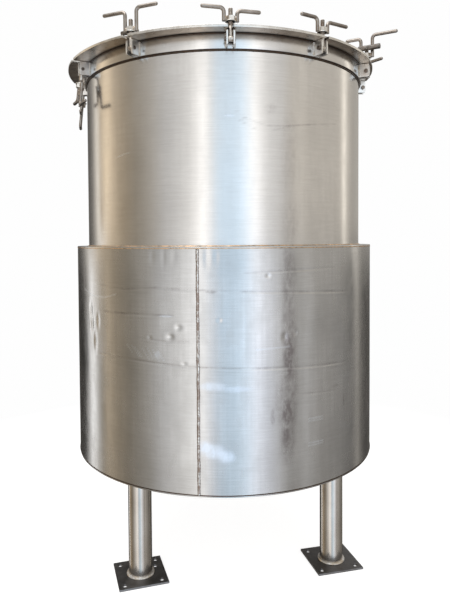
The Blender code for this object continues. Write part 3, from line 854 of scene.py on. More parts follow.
# Clamp parts: pale bolts and nuts, greyer drawn rods, and nearly black pins and bars
PIN_STEEL = machined_stainless("turned_stainless_pin", "8F867F", "5F564F", 0.34, 0.15)
BOLT_STEEL = machined_stainless("turned_stainless_bolt", "C9C4BD", "A39A90", 0.30, 0.25)
THREAD_STEEL = machined_stainless("rolled_stainless_thread", "C6BFB8", "A0978E", 0.36, 0.3)
NUT_STEEL = machined_stainless("forged_stainless_nut", "DDDBD7", "C3BFB9", 0.30, 0.15)
BAR_STEEL = machined_stainless("blackened_stainless_bar", "837E79", "5E5A56", 0.38, 0.15)
ROD_STEEL = machined_stainless("drawn_stainless_rod", "9C958E", "827A73", 0.29, 0.08)
TUBE_STEEL = drawn_tube("drawn_stainless_tube")
# Welds: brushed white, grey, straw, burnt black that also paints the shadow lines at the band's edges, and a
# bright seam with dark toes
BRIGHT_WELD = weld_metal("bright_weld", "F1F0EF", "B9B4AE", "C4B8A7", 0.45)
ROD_WELD = weld_metal("rod_weld", "B5ADA3", "857C73", "9C8468")
STRAW_WELD = weld_metal("straw_weld", "CDBBA4", "937B66", "DDB993")
BURNT_WELD_AND_SHADE = weld_metal("burnt_weld", "5C524A", "2A2522", "4F4036")
SEAM_WELD = weld_metal("seam_weld", "F0EEEB", "857B74", "95867D")
TOE_WELD = weld_metal("seam_weld_toes", "7E7470", "4E4542", "6B5B55")
# Foot plates: dull grey faces with slightly paler sheared edges
MILL_PLATE = mill_scale_plate("hot_rolled_plate", "7B7A7A", "5F5E5F", 0.42)
SHEARED_EDGE = mill_scale_plate("sheared_plate_edge", "8F8E90", "6B6866", 0.42)
GASKET_RUBBER = sheet_rubber("black_sheet_rubber")


# Pieces


def placed(parts, matrix):
    """Moves (bmesh, material) parts by a matrix."""
    return [(moved(part, matrix), material) for part, material in parts]


def joined(name, parts, others):
    """Joins (bmesh, material) parts into a smooth mesh with sharp corners.

    Faces that already have a material index keep it, for the other materials.
    """
    mesh = bpy.data.meshes.new(name)
    whole = bmesh.new()
    for part, material in parts:
        materials = list(mesh.materials)
        if material not in materials:
            mesh.materials.append(material)
            materials.append(material)
        for face in part.faces:
            if face.material_index == 0:
                face.material_index = materials.index(material)
        take_in(whole, part)
    for material in others:
        mesh.materials.append(material)
    whole.to_mesh(mesh)
    whole.free()
    mesh.shade_smooth()
    mesh.set_sharp_from_angle(angle=SHARP_ANGLE)
    return mesh


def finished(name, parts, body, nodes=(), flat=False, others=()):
    """Makes (bmesh, material) parts a piece that rides on a body."""
    thing = bpy.data.objects.new(name, joined(name, parts, others))
    bpy.context.collection.objects.link(thing)
    if flat:
        weighting = thing.modifiers.new("flat_faces", "WEIGHTED_NORMAL")
        weighting.keep_sharp = True
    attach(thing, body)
    if nodes:
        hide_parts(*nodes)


def solid_ring(inner, outer, low, high, edge, steps=RING_STEPS):
    """Returns a flat ring with rounded edges."""
    return soften(spun([(inner, low), (outer, low), (outer, high), (inner, high)], steps), edge)


def shell():
    """The rolled shell, with the slight waves that rolling leaves."""
    heights = spread(SHELL_BOTTOM, SHELL_MARKED[0], SHELL_ROW) + spread(*SHELL_MARKED, FINE_ROW)
    heights += spread(SHELL_MARKED[1], SHELL_TOP, SHELL_ROW)
    outline = [(SHELL_RADIUS, height) for height in heights]
    outline += [(SHELL_RADIUS, SHELL_TOP), (SHELL_RADIUS - SHELL_WALL, SHELL_TOP),
                (SHELL_RADIUS - SHELL_WALL, SHELL_BOTTOM)]
    bm = spun(outline, SHELL_STEPS)
    for vert in bm.verts:
        if math.hypot(vert.co.x, vert.co.y) > SHELL_RADIUS - SHELL_WALL / 2.0:
            wave = noise.noise(vert.co / (2.0 * WAVE_LENGTH) + Vector((5.0, 0.0, 0.0)))
            vert.co -= around(azimuth_of(vert.co), SHELL_WAVE * (1.0 + wave), 0.0)
    mark_sheet(bm, SHELL_RADIUS, SHELL_SMUDGES_AND_REFLECTION, (), SHELL_SCRATCHES, SHELL_CREASES)
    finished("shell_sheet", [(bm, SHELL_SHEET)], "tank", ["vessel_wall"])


def push_in(bm):
    """Pushes the cladding's outer face in by its creases, dents and slight waves."""
    for vert in bm.verts:
        if math.hypot(vert.co.x, vert.co.y) < JACKET_RADIUS - JACKET_WALL / 2.0:
            continue
        azimuth = azimuth_of(vert.co)
        inward = crease_depth(azimuth, vert.co.z) + dent_depth(azimuth, vert.co.z, JACKET_RADIUS)
        wave = noise.noise(vert.co / WAVE_LENGTH) + 0.4 * noise.noise(vert.co / WAVE_LENGTH * 2.7)
        inward += JACKET_WAVE * (1.0 + wave)
        vert.co -= around(azimuth, inward, 0.0)


def jacket():
    """The thin cladding, with its welded seam and edges."""
    heights = spread(JACKET_LOW, JACKET_MARKED[0], JACKET_LOW_ROW) + spread(*JACKET_MARKED, FINE_ROW)
    heights += spread(JACKET_MARKED[1], JACKET_HIGH, JACKET_HIGH_ROW)
    outline = [(JACKET_RADIUS, height) for height in heights]
    inner = JACKET_RADIUS - JACKET_WALL
    outline += [(JACKET_RADIUS, JACKET_HIGH), (inner, JACKET_HIGH), (inner, JACKET_LOW)]
    start, end = JACKET_FRONT
    front = spun(outline, JACKET_FRONT_STEPS, start, end - start)
    back = spun(outline, JACKET_BACK_STEPS, end, 360.0 - (end - start))
    bm = merged(front, back)
    push_in(bm)
    mark_sheet(bm, JACKET_RADIUS, JACKET_SMUDGES_AND_SHADE, JACKET_RUBS_AND_HIGHLIGHT, JACKET_SCRATCHES, JACKET_CREASES)
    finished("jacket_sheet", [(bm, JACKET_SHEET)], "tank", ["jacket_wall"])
    seam, toes = (seam_bead(SEAM_AZIMUTH, JACKET_RADIUS, JACKET_LOW, JACKET_HIGH, bead)
                  for bead in (SEAM_BEAD, SEAM_TOES))
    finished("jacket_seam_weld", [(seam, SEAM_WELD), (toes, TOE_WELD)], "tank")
    upper = ring_bead(JACKET_RADIUS, JACKET_HIGH, JACKET_UPPER_BEAD)
    lower = ring_bead(JACKET_RADIUS, JACKET_LOW, JACKET_LOWER_BEAD)
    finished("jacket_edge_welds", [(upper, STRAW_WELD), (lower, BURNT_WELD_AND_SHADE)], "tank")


def jacket_ends():
    """The jacket's top ring and its bottom plate."""
    top = solid_ring(SHELL_RADIUS + GAP, JACKET_RADIUS, JACKET_HIGH + GAP, JACKET_TOP, JACKET_TOP_ROUND)
    fillet = ring_bead(SHELL_RADIUS, JACKET_TOP, JACKET_FILLET)
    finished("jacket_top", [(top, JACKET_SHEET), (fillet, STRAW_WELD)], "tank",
             ["jacket_top_ring"])
    bottom = spun([(0.0, JACKET_BOTTOM), (JACKET_RADIUS, JACKET_BOTTOM), (JACKET_RADIUS, JACKET_LOW - GAP),
                   (0.0, JACKET_LOW - GAP)], RING_STEPS, closed=False)
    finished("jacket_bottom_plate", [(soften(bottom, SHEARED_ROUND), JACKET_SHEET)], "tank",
             ["jacket_bottom"])


def slotted_outline():
    """Returns the rim's outer outline, with an open slot at each clamp."""
    half = SLOT_WIDTH / 2.0
    shift = Vector((RIM_SHIFT, 0.0))
    slots = []
    for azimuth in sorted(clamp.azimuth for clamp in CLAMPS.values()):
        turn = Matrix.Rotation(math.radians(azimuth), 2)
        middle = turn.transposed() @ shift
        drops = [math.sqrt(RIM_RADIUS ** 2 - (x - middle.x) ** 2) for x in (-half, half)]
        mouths = [Vector((x, middle.y - drop)) for x, drop in zip((-half, half), drops)]
        angles = [math.pi * step / SLOT_STEPS for step in range(SLOT_STEPS + 1)]
        end = [Vector((-half * math.cos(angle), half * math.sin(angle) - PIVOT_RADIUS)) for angle in angles]
        slots.append([turn @ point for point in (mouths[0], *end, mouths[1])])
    points = []
    for slot, following in zip(slots, slots[1:] + slots[:1]):
        points += slot
        first, last = (azimuth_of((point - shift).to_3d()) for point in (slot[-1], following[0]))
        span = (last - first) % 360.0
        for step in range(1, round(span / 2.0)):
            points.append(around(first + span * step / round(span / 2.0), RIM_RADIUS, 0.0).to_2d() + shift)
    return [tuple(point) for point in points]


def rim():
    """The slotted rim, the band under it and the welds at the band's two edges."""
    bore = SHELL_RADIUS - SHELL_WALL
    inner = [tuple(around(360.0 * step / RING_STEPS, bore, 0.0)[:2]) for step in range(RING_STEPS)]
    flange = soften(plate([slotted_outline(), inner], RIM_LOW, RIM_TOP), SHEARED_ROUND)
    for face in flange.faces:
        middle = face.calc_center_median().to_2d()
        in_slot = abs(face.normal.z) < 0.5 and bore + MM < middle.length < RIM_RADIUS - RIM_EDGE
        # Downward faces take the underside, painted darker as shade, and the slots' walls are painted black
        # as shade
        face.material_index = 2 if in_slot else int(face.normal.z < -0.8)
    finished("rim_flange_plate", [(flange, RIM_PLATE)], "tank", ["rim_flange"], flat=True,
             others=(RIM_UNDERSIDE_SHADE, SLOT_SHADE))
    band = solid_ring(SHELL_RADIUS + GAP, BAND_RADIUS, BAND_BOTTOM, RIM_LOW - GAP, SHEARED_ROUND, SHELL_STEPS)
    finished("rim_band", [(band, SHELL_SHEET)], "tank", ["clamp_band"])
    # The band's black beads also paint the dark shadow lines under the rim and at the band's foot
    upper = ring_bead(BAND_RADIUS, RIM_LOW, BAND_UPPER_BEAD)
    lower = ring_bead(SHELL_RADIUS, BAND_BOTTOM, BAND_LOWER_BEAD)
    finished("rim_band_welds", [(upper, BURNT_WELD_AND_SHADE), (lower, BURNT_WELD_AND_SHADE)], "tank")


def dome_outline():
    """Returns the dome's section: a shallow part of a sphere with an even wall."""
    rise = DOME_TOP - DOME_LOW - DOME_WALL
    crown = (DOME_RADIUS ** 2 + rise ** 2) / (2.0 * rise)
    reach = math.asin(DOME_RADIUS / (crown + DOME_WALL))
    base = DOME_TOP - DOME_WALL - crown
    outline = []
    for sphere, order in ((crown, 1), (crown + DOME_WALL, -1)):
        tilts = [reach * step / DOME_STEPS for step in range(DOME_STEPS + 1)]
        outline += [(sphere * math.sin(tilt), base + sphere * math.cos(tilt)) for tilt in tilts][::order]
    return outline


def lid():
    """The gasket, the lid's flat ring, its dome and the weld between them."""
    bore = SHELL_RADIUS - SHELL_WALL
    gasket = solid_ring(bore, GASKET_RADIUS, GASKET_LOW, GASKET_TOP, FILED_ROUND)
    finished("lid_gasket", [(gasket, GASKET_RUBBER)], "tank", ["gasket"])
    ring = solid_ring(DOME_RADIUS + GAP, LID_RADIUS, LID_LOW, LID_TOP, LID_ROUND)
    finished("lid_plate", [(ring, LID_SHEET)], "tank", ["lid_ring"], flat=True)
    dome = spun(dome_outline(), RING_STEPS, closed=False)
    weld = ring_bead(DOME_RADIUS, LID_TOP, LID_BEAD)
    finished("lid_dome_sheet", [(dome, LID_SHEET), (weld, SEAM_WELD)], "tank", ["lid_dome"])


def lug(side):
    """Returns one lug of a clevis and the weld at its outer foot."""
    root = BAND_RADIUS - LUG_BITE
    height = RIM_LOW - LUG_CLEARANCE - BAND_BOTTOM
    centre = (side * (LUG_GAP + LUG_THICKNESS) / 2.0, -(root + BAND_RADIUS + LUG_REACH) / 2.0,
              BAND_BOTTOM + GAP + height / 2.0)
    sawn = block((LUG_THICKNESS, LUG_REACH + BAND_RADIUS - root, height), centre)
    corners = [edge for edge in sawn.edges if all(vert.co.y < centre[1] for vert in edge.verts)
               and abs(edge.verts[0].co.x - edge.verts[1].co.x) > MM]
    bmesh.ops.bevel(sawn, geom=corners, offset=LUG_CORNER, segments=4, profile=0.5, affect="EDGES",
                    material=-1)
    foot = seam_bead(0.0, 0.0, BAND_BOTTOM + 2 * MM, BAND_BOTTOM + height - MM, LUG_BEAD)
    beside = side * (LUG_GAP / 2.0 + LUG_THICKNESS + LUG_BEAD.out * MM)
    corner = Matrix.Translation((beside, -BAND_RADIUS - LUG_BEAD.up * MM, 0.0))
    return [(soften(sawn, FILED_ROUND), LUG_PLATE), (moved(foot, corner), BRIGHT_WELD)]


def pin():
    """Returns the pin with its hexagon head and its peened tail."""
    outer = LUG_GAP / 2.0 + LUG_THICKNESS
    tail_end = outer + PIN_TAIL_LENGTH
    parts = []
    for radius, start, end, sides, edge in (
            (PIN_RADIUS, -outer, tail_end, PIN_SIDES, PIN_ROUND),
            (PIN_HEAD_RADIUS, -outer - PIN_HEAD_LENGTH, -outer, HEX_SIDES, PIN_HEAD_ROUND),
            (PIN_TAIL_RADIUS, outer, tail_end, PIN_TAIL_SIDES, PIN_TAIL_ROUND)):
        parts.append((soften(bar(radius, (start, 0.0, 0.0), (end, 0.0, 0.0), sides), edge), PIN_STEEL))
    return placed(parts, Matrix.Translation((0.0, -PIVOT_RADIUS, PIVOT_HEIGHT)))


def clevis(place):
    """Two lugs welded to the band, and the pin through them."""
    turn = Matrix.Rotation(math.radians(CLAMPS[place].azimuth), 4, "Z")
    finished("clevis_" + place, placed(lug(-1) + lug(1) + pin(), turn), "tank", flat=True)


def threaded_end():
    """Returns the bolt's rolled thread, spun up its helix, with a chamfered tip."""
    bm = bmesh.new()
    root = BOLT_RADIUS - THREAD_DEPTH
    turns = int((BOLT_LENGTH - THREAD_START) / THREAD_PITCH) - 1
    profile = []
    for turn in range(turns):
        for share, radius in ((0.0, root), (THREAD_CREST[0], BOLT_RADIUS), (THREAD_CREST[1], BOLT_RADIUS)):
            profile.append((radius, 0.0, THREAD_START + (turn + share) * THREAD_PITCH))
    profile.append((root, 0.0, THREAD_START + turns * THREAD_PITCH))
    verts = [bm.verts.new(point) for point in profile]
    edges = [bm.edges.new(pair) for pair in zip(verts, verts[1:])]
    bmesh.ops.spin(bm, geom=verts + edges, cent=(0.0, 0.0, 0.0), axis=(0.0, 0.0, 1.0),
                   dvec=(0.0, 0.0, THREAD_PITCH / THREAD_STEPS), angle=2.0 * math.pi, steps=THREAD_STEPS)
    bmesh.ops.remove_doubles(bm, verts=bm.verts, dist=MERGE_DISTANCE)
    middle = (THREAD_START + BOLT_LENGTH) / 2.0
    open_edges = [edge for edge in bm.edges if edge.is_boundary]
    for high in (True, False):
        ends = [edge for edge in open_edges if (edge.verts[0].co.z > middle) == high]
        verts, loop = extended(bm, ends)
        for vert in verts:
            spoke = Vector((vert.co.x, vert.co.y, 0.0)).normalized() * (root - THREAD_TIP)
            vert.co = spoke + Vector((0.0, 0.0, BOLT_LENGTH if high else THREAD_START - MM))
        bmesh.ops.contextual_create(bm, geom=loop)
    bmesh.ops.recalc_face_normals(bm, faces=bm.faces)
    return bm


def clamp_matrix(clamp):
    """Returns where a clamp's own frame stands: its origin on the pin, Z up the bolt."""
    turn = Matrix.Rotation(math.radians(clamp.azimuth), 4, "Z")
    return Matrix.Translation(clamp.pivot) @ turn @ Matrix.Rotation(math.radians(clamp.lean), 4, "X")


def bolt_eye():
    """Returns the eye that turns on the pin."""
    half = EYE_WIDTH / 2.0
    eye = bmesh.new()
    verts = [eye.verts.new((x, radius, 0.0)) for x, radius in
             ((-half, EYE_BORE), (-half, EYE_RADIUS), (half, EYE_RADIUS), (half, EYE_BORE))]
    edges = [eye.edges.new((verts[i - 1], verts[i])) for i in range(4)]
    bmesh.ops.spin(eye, geom=verts + edges, cent=(0.0, 0.0, 0.0), axis=(1.0, 0.0, 0.0),
                   angle=2.0 * math.pi, steps=EYE_STEPS, use_merge=True)
    bmesh.ops.recalc_face_normals(eye, faces=eye.faces)
    return soften(eye, SHEARED_ROUND)


def swing_bolt(place):
    """The bolt: an eye on the pin, a plain neck and a thread."""
    neck = spun([(0.0, NECK_START), (BOLT_RADIUS, NECK_START), (BOLT_RADIUS, NECK_MIDDLE),
                 (BOLT_RADIUS, THREAD_START - MM), (BOLT_RADIUS - THREAD_DEPTH, THREAD_START + MM),
                 (0.0, THREAD_START + MM)], NECK_SIDES, closed=False)
    parts = [(bolt_eye(), BOLT_STEEL), (neck, BOLT_STEEL), (threaded_end(), THREAD_STEEL)]
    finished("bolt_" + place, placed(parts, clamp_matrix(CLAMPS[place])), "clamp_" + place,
             ["swing_bolt_" + place])


def hexagon_nut():
    """Returns a hexagon nut whose corners are turned off at both ends."""
    flat = NUT_ACROSS_FLATS / 2.0
    face = flat * NUT_FACE
    cone = math.tan(math.radians(NUT_CHAMFER))
    countersink = NUT_BORE + NUT_BORE_EDGE
    outline = [(NUT_BORE, NUT_BORE_EDGE), (countersink, 0.0), (face, 0.0), (flat, 0.0),
               (flat, NUT_HEIGHT), (face, NUT_HEIGHT), (countersink, NUT_HEIGHT),
               (NUT_BORE, NUT_HEIGHT - NUT_BORE_EDGE)]
    bm = spun(outline, NUT_STEPS, 90.0)
    for vert in bm.verts:
        radius = math.hypot(vert.co.x, vert.co.y)
        if radius > flat * 0.99:
            angle = math.atan2(vert.co.y, vert.co.x) % (math.pi / 3.0) - math.pi / 6.0
            wanted = flat / math.cos(angle)
            drop = (wanted - face) * cone
            vert.co.x *= wanted / radius
            vert.co.y *= wanted / radius
            vert.co.z += drop if vert.co.z < NUT_HEIGHT / 2.0 else -drop
    return bm


def bent_rod(side, rise, arm):
    """Returns a handle rod: up beside the nut, round a bend and out to a domed end."""
    bm = bmesh.new()
    x = side * ROD_SPACING / 2.0
    low = WASHER_THICKNESS / 2.0
    bmesh.ops.create_circle(bm, cap_ends=True, radius=ROD_RADIUS, segments=ROD_SIDES,
                            matrix=Matrix.Translation((x, 0.0, low)))
    end = drawn_on(bm, list(bm.edges), (0.0, 0.0, (rise - BEND_RADIUS - low) / 2.0), 2)
    made = bmesh.ops.spin(bm, geom=end, cent=(x + side * BEND_RADIUS, 0.0, rise - BEND_RADIUS),
                          axis=(0.0, 1.0, 0.0), angle=side * math.pi / 2.0, steps=BEND_STEPS)
    end = only(bmesh.types.BMEdge, made["geom_last"])
    end = drawn_on(bm, end, (side * (arm - ROD_RADIUS) / 4.0, 0.0, 0.0), 4)
    domed_end(bm, end, Vector((side, 0.0, 0.0)), ROD_RADIUS)
    bmesh.ops.recalc_face_normals(bm, faces=bm.faces)
    return bm


def welded_rods(handle, seed):
    """Returns a handle's two rods, each with two short welds to the nut."""
    parts = []
    for side, rise, arm in zip((1, -1), handle.rises, handle.arms):
        parts.append((bent_rod(side, NUT_HEIGHT + rise * MM, arm * MM), ROD_STEEL))
        for front in (-1, 1):
            centre = (side * (ROD_SPACING / 2.0 - ROD_LUMP_INSET), front * ROD_LUMP_OFFSET,
                      ROD_LUMP_LEVEL * NUT_HEIGHT)
            parts.append((weld_lump(centre, ROD_LUMP, seed + side + 0.3 * front), ROD_WELD))
    return parts


def cross_bar(beam, seed):
    """Returns the bar beside a handle's rods and its welds to the rods that it passes."""
    near, far = (Vector((end, beam.offset, beam.height)) * MM for end in (beam.near, beam.far))
    parts = [(soften(bar(beam.radius * MM, near, far, HEX_SIDES), BAR_ROUND), BAR_STEEL)]
    flat = beam.radius * math.cos(math.pi / HEX_SIDES)
    between = math.copysign((ROD_RADIUS / MM + abs(beam.offset) - flat) / 2.0, beam.offset) * MM
    for x in (-ROD_SPACING / 2.0, ROD_SPACING / 2.0):
        if near.x < x < far.x:
            parts.append((weld_lump((x, between, near.z), BAR_LUMP, seed + x), BRIGHT_WELD))
    return parts


def handle_nut(place, seed):
    """The nut on its collar, with two bent rods and any cross bar welded to it."""
    handle = HANDLES[place]
    collar = spun([(NUT_BORE, 0.0), (WASHER_RADIUS, 0.0), (WASHER_RADIUS, WASHER_THICKNESS),
                   (NUT_BORE, WASHER_THICKNESS)], WASHER_STEPS)
    parts = [(hexagon_nut(), NUT_STEEL), (soften(collar, FILED_ROUND), NUT_STEEL)]
    parts += welded_rods(handle, seed)
    if handle.bar:
        parts += cross_bar(handle.bar, seed)
    matrix = clamp_matrix(CLAMPS[place]) @ Matrix.Translation((0.0, 0.0, NUT_SEAT))
    matrix = matrix @ Matrix.Rotation(math.radians(handle.turn), 4, "Z")
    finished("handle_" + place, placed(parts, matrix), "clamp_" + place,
             ["handle_nut_" + place])


def foot_plate(place, leg):
    """A square plate with drilled anchor holes and sheared edges."""
    half, spacing = FOOT_SIDE / 2.0, FOOT_HOLE_SPACING / 2.0
    centres = [(x, y) for x in (-spacing, spacing) for y in (-spacing, spacing)]
    if leg.extra_hole:
        centres.append(leg.extra_hole)
    outlines = [[(-half, -half), (half, -half), (half, half), (-half, half)]]
    for x, y in centres:
        angles = [2.0 * math.pi * step / FOOT_HOLE_STEPS for step in range(FOOT_HOLE_STEPS)]
        outlines.append([(x + FOOT_HOLE_RADIUS * math.cos(angle), y + FOOT_HOLE_RADIUS * math.sin(angle))
                         for angle in angles])
    bm = soften(plate(outlines, 0.0, FOOT_THICKNESS), FILED_ROUND)
    for face in bm.faces:
        middle = face.calc_center_median()
        on_side = max(abs(middle.x), abs(middle.y)) > half - FOOT_EDGE
        face.material_index = 1 if on_side and face.normal.z < 0.8 else 0
    turn = Matrix.Rotation(math.radians(leg.foot_turn), 4, "Z")
    moved(bm, Matrix.Translation(around(leg.azimuth, LEG_CIRCLE, 0.0)) @ turn)
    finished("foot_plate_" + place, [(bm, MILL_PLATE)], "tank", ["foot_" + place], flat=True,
             others=(SHEARED_EDGE,))


def legs():
    """The tube legs, their welds and their plates."""
    for place, leg in LEGS.items():
        stand = Matrix.Translation(around(leg.azimuth, LEG_CIRCLE, 0.0))
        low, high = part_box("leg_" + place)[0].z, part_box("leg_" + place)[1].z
        outline = [(LEG_RADIUS, height) for height in spread(low, high, LEG_ROW)]
        outline += [(LEG_RADIUS, high), (LEG_RADIUS - LEG_WALL, high), (LEG_RADIUS - LEG_WALL, low)]
        tube = moved(spun(outline, LEG_STEPS), stand)
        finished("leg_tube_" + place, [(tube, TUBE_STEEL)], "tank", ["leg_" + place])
        foot = ring_bead(LEG_RADIUS, FOOT_THICKNESS, FOOT_BEAD)
        top = ring_bead(LEG_RADIUS, high, LEG_TOP_BEAD)
        welds = moved(merged(foot, top), stand)
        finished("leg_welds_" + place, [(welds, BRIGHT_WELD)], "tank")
        foot_plate(place, leg)


shell()
jacket()
jacket_ends()
rim()
lid()
for seed, place in enumerate(CLAMPS):
    clevis(place)
    swing_bolt(place)
    handle_nut(place, seed)
legs()
# The dished bottom hangs out of sight inside the jacket and keeps its own mesh
bottom = frame["nodes"]["vessel_bottom"]
bottom.data.materials.clear()
bottom.data.materials.append(SHELL_SHEET)


# Floor, light and camera


FLOOR_RADIUS = 12.0
FLOOR_DROP = 0.2 * MM
FLOOR_FADE = (0.7, 1.8)
FLOOR_GREY, FLOOR_LIFT = "B8B8B8", 0.84
BACKDROP = "FEFEFE"


def add_floor():
    """A plain pale floor. Metal reflects the light plan's lower half instead of it."""
    bm = bmesh.new()
    bmesh.ops.create_circle(bm, cap_ends=True, radius=FLOOR_RADIUS, segments=64)
    mesh = bpy.data.meshes.new("floor")
    bm.to_mesh(mesh)
    bm.free()
    floor = bpy.data.objects.new("floor", mesh)
    floor.location.z = -FLOOR_DROP
    bpy.context.collection.objects.link(floor)
    floor.visible_glossy = False
    material, tree, shader, place = new_material("matt_white_floor")
    far = add_node(tree, "VectorMath", {0: place}, "Value", operation="LENGTH")
    fade = add_node(tree, "MapRange", {0: far, 1: FLOOR_FADE[0], 2: FLOOR_FADE[1], 3: 0.0, 4: 1.0})
    matt = add_node(tree, "BsdfDiffuse", {"Color": linear(FLOOR_GREY)})
    white = add_node(tree, "Emission", {"Color": linear(BACKDROP), "Strength": 1.0})
    lift = add_node(tree, "Emission", {"Color": linear("FFFFFF"), "Strength": FLOOR_LIFT})
    near = add_node(tree, "AddShader", {0: matt, 1: lift})
    seen = add_node(tree, "MixShader", {0: fade, 1: near, 2: white})
    eye = add_node(tree, "LightPath", output="Is Camera Ray")
    either = add_node(tree, "MixShader", {0: eye, 1: matt, 2: seen})
    fill(tree, tree.nodes["Material Output"], {0: either})
    tree.nodes.remove(shader)
    mesh.materials.append(material)


# The light plan: screens and walls round the tank by azimuth, each (azimuth, colour,
# brightness). The upper plan lights the shell and the lower one the jacket.
WHITE, COOL, SKY, CREAM = "FFFEFC", "F0F5FF", "DAEEFF", "FFF8EC"
BEIGE, WARM, GREY, DARK = "FFF1DA", "FFEACB", "F2EEE8", "D8D2CA"
UPPER_PLAN = [
    (-180, GREY, 0.50), (-152, DARK, 0.16), (-138, DARK, 0.36), (-130, CREAM, 0.75), (-125, CREAM, 1.40),
    (-119, WARM, 0.62), (-109, WARM, 1.45), (-103, WARM, 1.12), (-96, WARM, 0.68), (-86, WARM, 0.49),
    (-74, BEIGE, 0.42), (-58, CREAM, 0.62), (-46, WHITE, 0.78), (-34, WHITE, 0.94), (-25, WHITE, 1.12),
    (-20, WHITE, 1.50), (-15, WHITE, 2.25), (-10, WHITE, 1.38), (-4, SKY, 1.60), (8, SKY, 1.58),
    (15, SKY, 1.90), (25, WHITE, 2.10), (34, WHITE, 1.22), (46, WHITE, 1.00), (56, CREAM, 0.83),
    (63, CREAM, 0.95), (72, CREAM, 0.80), (111, CREAM, 0.76), (116, CREAM, 2.10), (121, CREAM, 0.80),
    (132, CREAM, 0.56), (180, GREY, 0.50),
]
LOWER_PLAN = [
    (-180, DARK, 0.25), (-148, DARK, 0.06), (-131, DARK, 0.08), (-126, GREY, 0.45), (-120, WHITE, 2.10),
    (-114, WHITE, 1.45), (-108, CREAM, 0.50), (-102, WARM, 0.38), (-96, WARM, 0.95), (-91, WARM, 0.52),
    (-74, BEIGE, 0.33), (-58, CREAM, 0.56), (-46, WHITE, 0.92), (-34, WHITE, 1.28), (-26, WHITE, 1.62),
    (-15, WHITE, 2.10), (-9, COOL, 1.36), (-4, SKY, 1.46), (8, SKY, 1.55), (14, SKY, 1.98),
    (24, COOL, 2.10), (31, COOL, 1.48), (43, WHITE, 0.88), (50, GREY, 0.52), (62, WHITE, 0.83),
    (72, GREY, 0.59), (95, GREY, 0.46), (115, GREY, 0.20), (120, CREAM, 0.75), (126, DARK, 0.22),
    (142, DARK, 0.12), (180, DARK, 0.25),
]
BRIGHTEST = 2.4
GROUND, CEILING = "DCD9D5", "E3E1DD"
# Slopes, as the height of a direction of length 1, over which the light goes from
# the lower plan to the upper one, from the plan to the ceiling and to the ground
PLAN_SLOPES = (-0.07, 0.02)
CEILING_SLOPES = (0.28, 0.52)
GROUND_SLOPES = (-0.34, -0.46)
LAMP_SIZE, LAMP_POWER = 2.6, 55.0
LAMP_PLACE, LAMP_AIM = Vector((-0.5, -1.0, 3.6)), Vector((0.0, 0.0, 0.8))


def dimmed(code, level=1.0):
    """Returns a colour at a share of the brightest light in the plan."""
    return (*(channel * level / BRIGHTEST for channel in linear(code)[:3]), 1.0)


def plan_ramp(tree, plan, turn):
    """Returns the colours of a light plan by the share of a turn."""
    colours = add_node(tree, "ValToRGB", {"Fac": turn})
    ramp = colours.node.color_ramp
    ramp.interpolation = "LINEAR"
    while len(ramp.elements) < len(plan):
        ramp.elements.new(0.5)
    for stop, (azimuth, colour, level) in zip(ramp.elements, plan):
        stop.position = (azimuth + 180.0) / 360.0
        stop.color = dimmed(colour, level)
    return colours


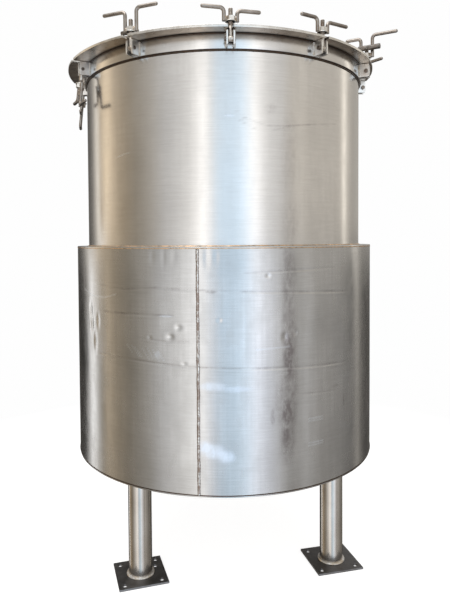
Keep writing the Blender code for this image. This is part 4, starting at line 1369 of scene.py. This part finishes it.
def add_world():
    """Soft light from the plan, the ceiling and the ground, and a white backdrop."""
    world = bpy.data.worlds.new("studio")
    world.use_nodes = True
    tree = world.node_tree
    way = add_node(tree, "TexCoord", output="Generated")
    east, north, up = add_node(tree, "SeparateXYZ", {0: way}).node.outputs
    south = add_node(tree, "Math", {0: north, 1: -1.0}, operation="MULTIPLY")
    angle = add_node(tree, "Math", {0: east, 1: south}, operation="ARCTAN2")
    turn = add_node(tree, "MapRange", {0: angle, 1: -math.pi, 2: math.pi, 3: 0.0, 4: 1.0})
    shares = [add_node(tree, "MapRange", {0: up, 1: start, 2: end, 3: 0.0, 4: 1.0})
              for start, end in (PLAN_SLOPES, CEILING_SLOPES, GROUND_SLOPES)]
    lower, upper = plan_ramp(tree, LOWER_PLAN, turn), plan_ramp(tree, UPPER_PLAN, turn)
    colour = add_node(tree, "Mix", {0: shares[0], 6: lower, 7: upper}, 2, data_type="RGBA")
    colour = add_node(tree, "Mix", {0: shares[1], 6: colour, 7: dimmed(CEILING)}, 2, data_type="RGBA")
    colour = add_node(tree, "Mix", {0: shares[2], 6: colour, 7: linear(GROUND)}, 2, data_type="RGBA",
                      blend_type="MULTIPLY")
    lit = tree.nodes["Background"]
    fill(tree, lit, {"Color": colour, "Strength": BRIGHTEST})
    white = add_node(tree, "Background", {"Color": linear(BACKDROP), "Strength": 1.0})
    eye = add_node(tree, "LightPath", output="Is Camera Ray")
    either = add_node(tree, "MixShader", {0: eye, 1: lit.outputs[0], 2: white})
    fill(tree, tree.nodes["World Output"], {0: either})
    bpy.context.scene.world = world


def add_lamp():
    """One large soft lamp overhead, for the shadows on the floor."""
    lamp = bpy.data.lights.new("ceiling_softbox", "AREA")
    lamp.shape = "DISK"
    lamp.size = LAMP_SIZE
    lamp.energy = LAMP_POWER
    softbox = bpy.data.objects.new("ceiling_softbox", lamp)
    softbox.location = LAMP_PLACE
    softbox.rotation_euler = (LAMP_AIM - LAMP_PLACE).to_track_quat("-Z", "Y").to_euler()
    softbox.visible_camera = False
    bpy.context.collection.objects.link(softbox)


def add_camera():
    """The photograph's camera."""
    lens = bpy.data.cameras.new("photo_camera")
    lens.sensor_width = SENSOR
    lens.lens = FOCAL_PIXELS * SENSOR / IMAGE_HEIGHT
    lens.shift_x = (IMAGE_WIDTH / 2.0 - CENTRE_X) / IMAGE_HEIGHT
    lens.shift_y = (CENTRE_Y - IMAGE_HEIGHT / 2.0) / IMAGE_HEIGHT
    lens.clip_start = CLIP_START
    camera = bpy.data.objects.new("photo_camera", lens)
    camera.matrix_world = (Matrix.Translation(CAMERA_PLACE) @ Matrix.Rotation(CAMERA_YAW, 4, "Z")
                           @ Matrix.Rotation(math.pi / 2.0 + CAMERA_PITCH, 4, "X")
                           @ Matrix.Rotation(CAMERA_ROLL, 4, "Z"))
    bpy.context.collection.objects.link(camera)
    bpy.context.scene.camera = camera


add_floor()
add_world()
add_lamp()
add_camera()
bpy.context.scene.view_settings.view_transform = "Standard"
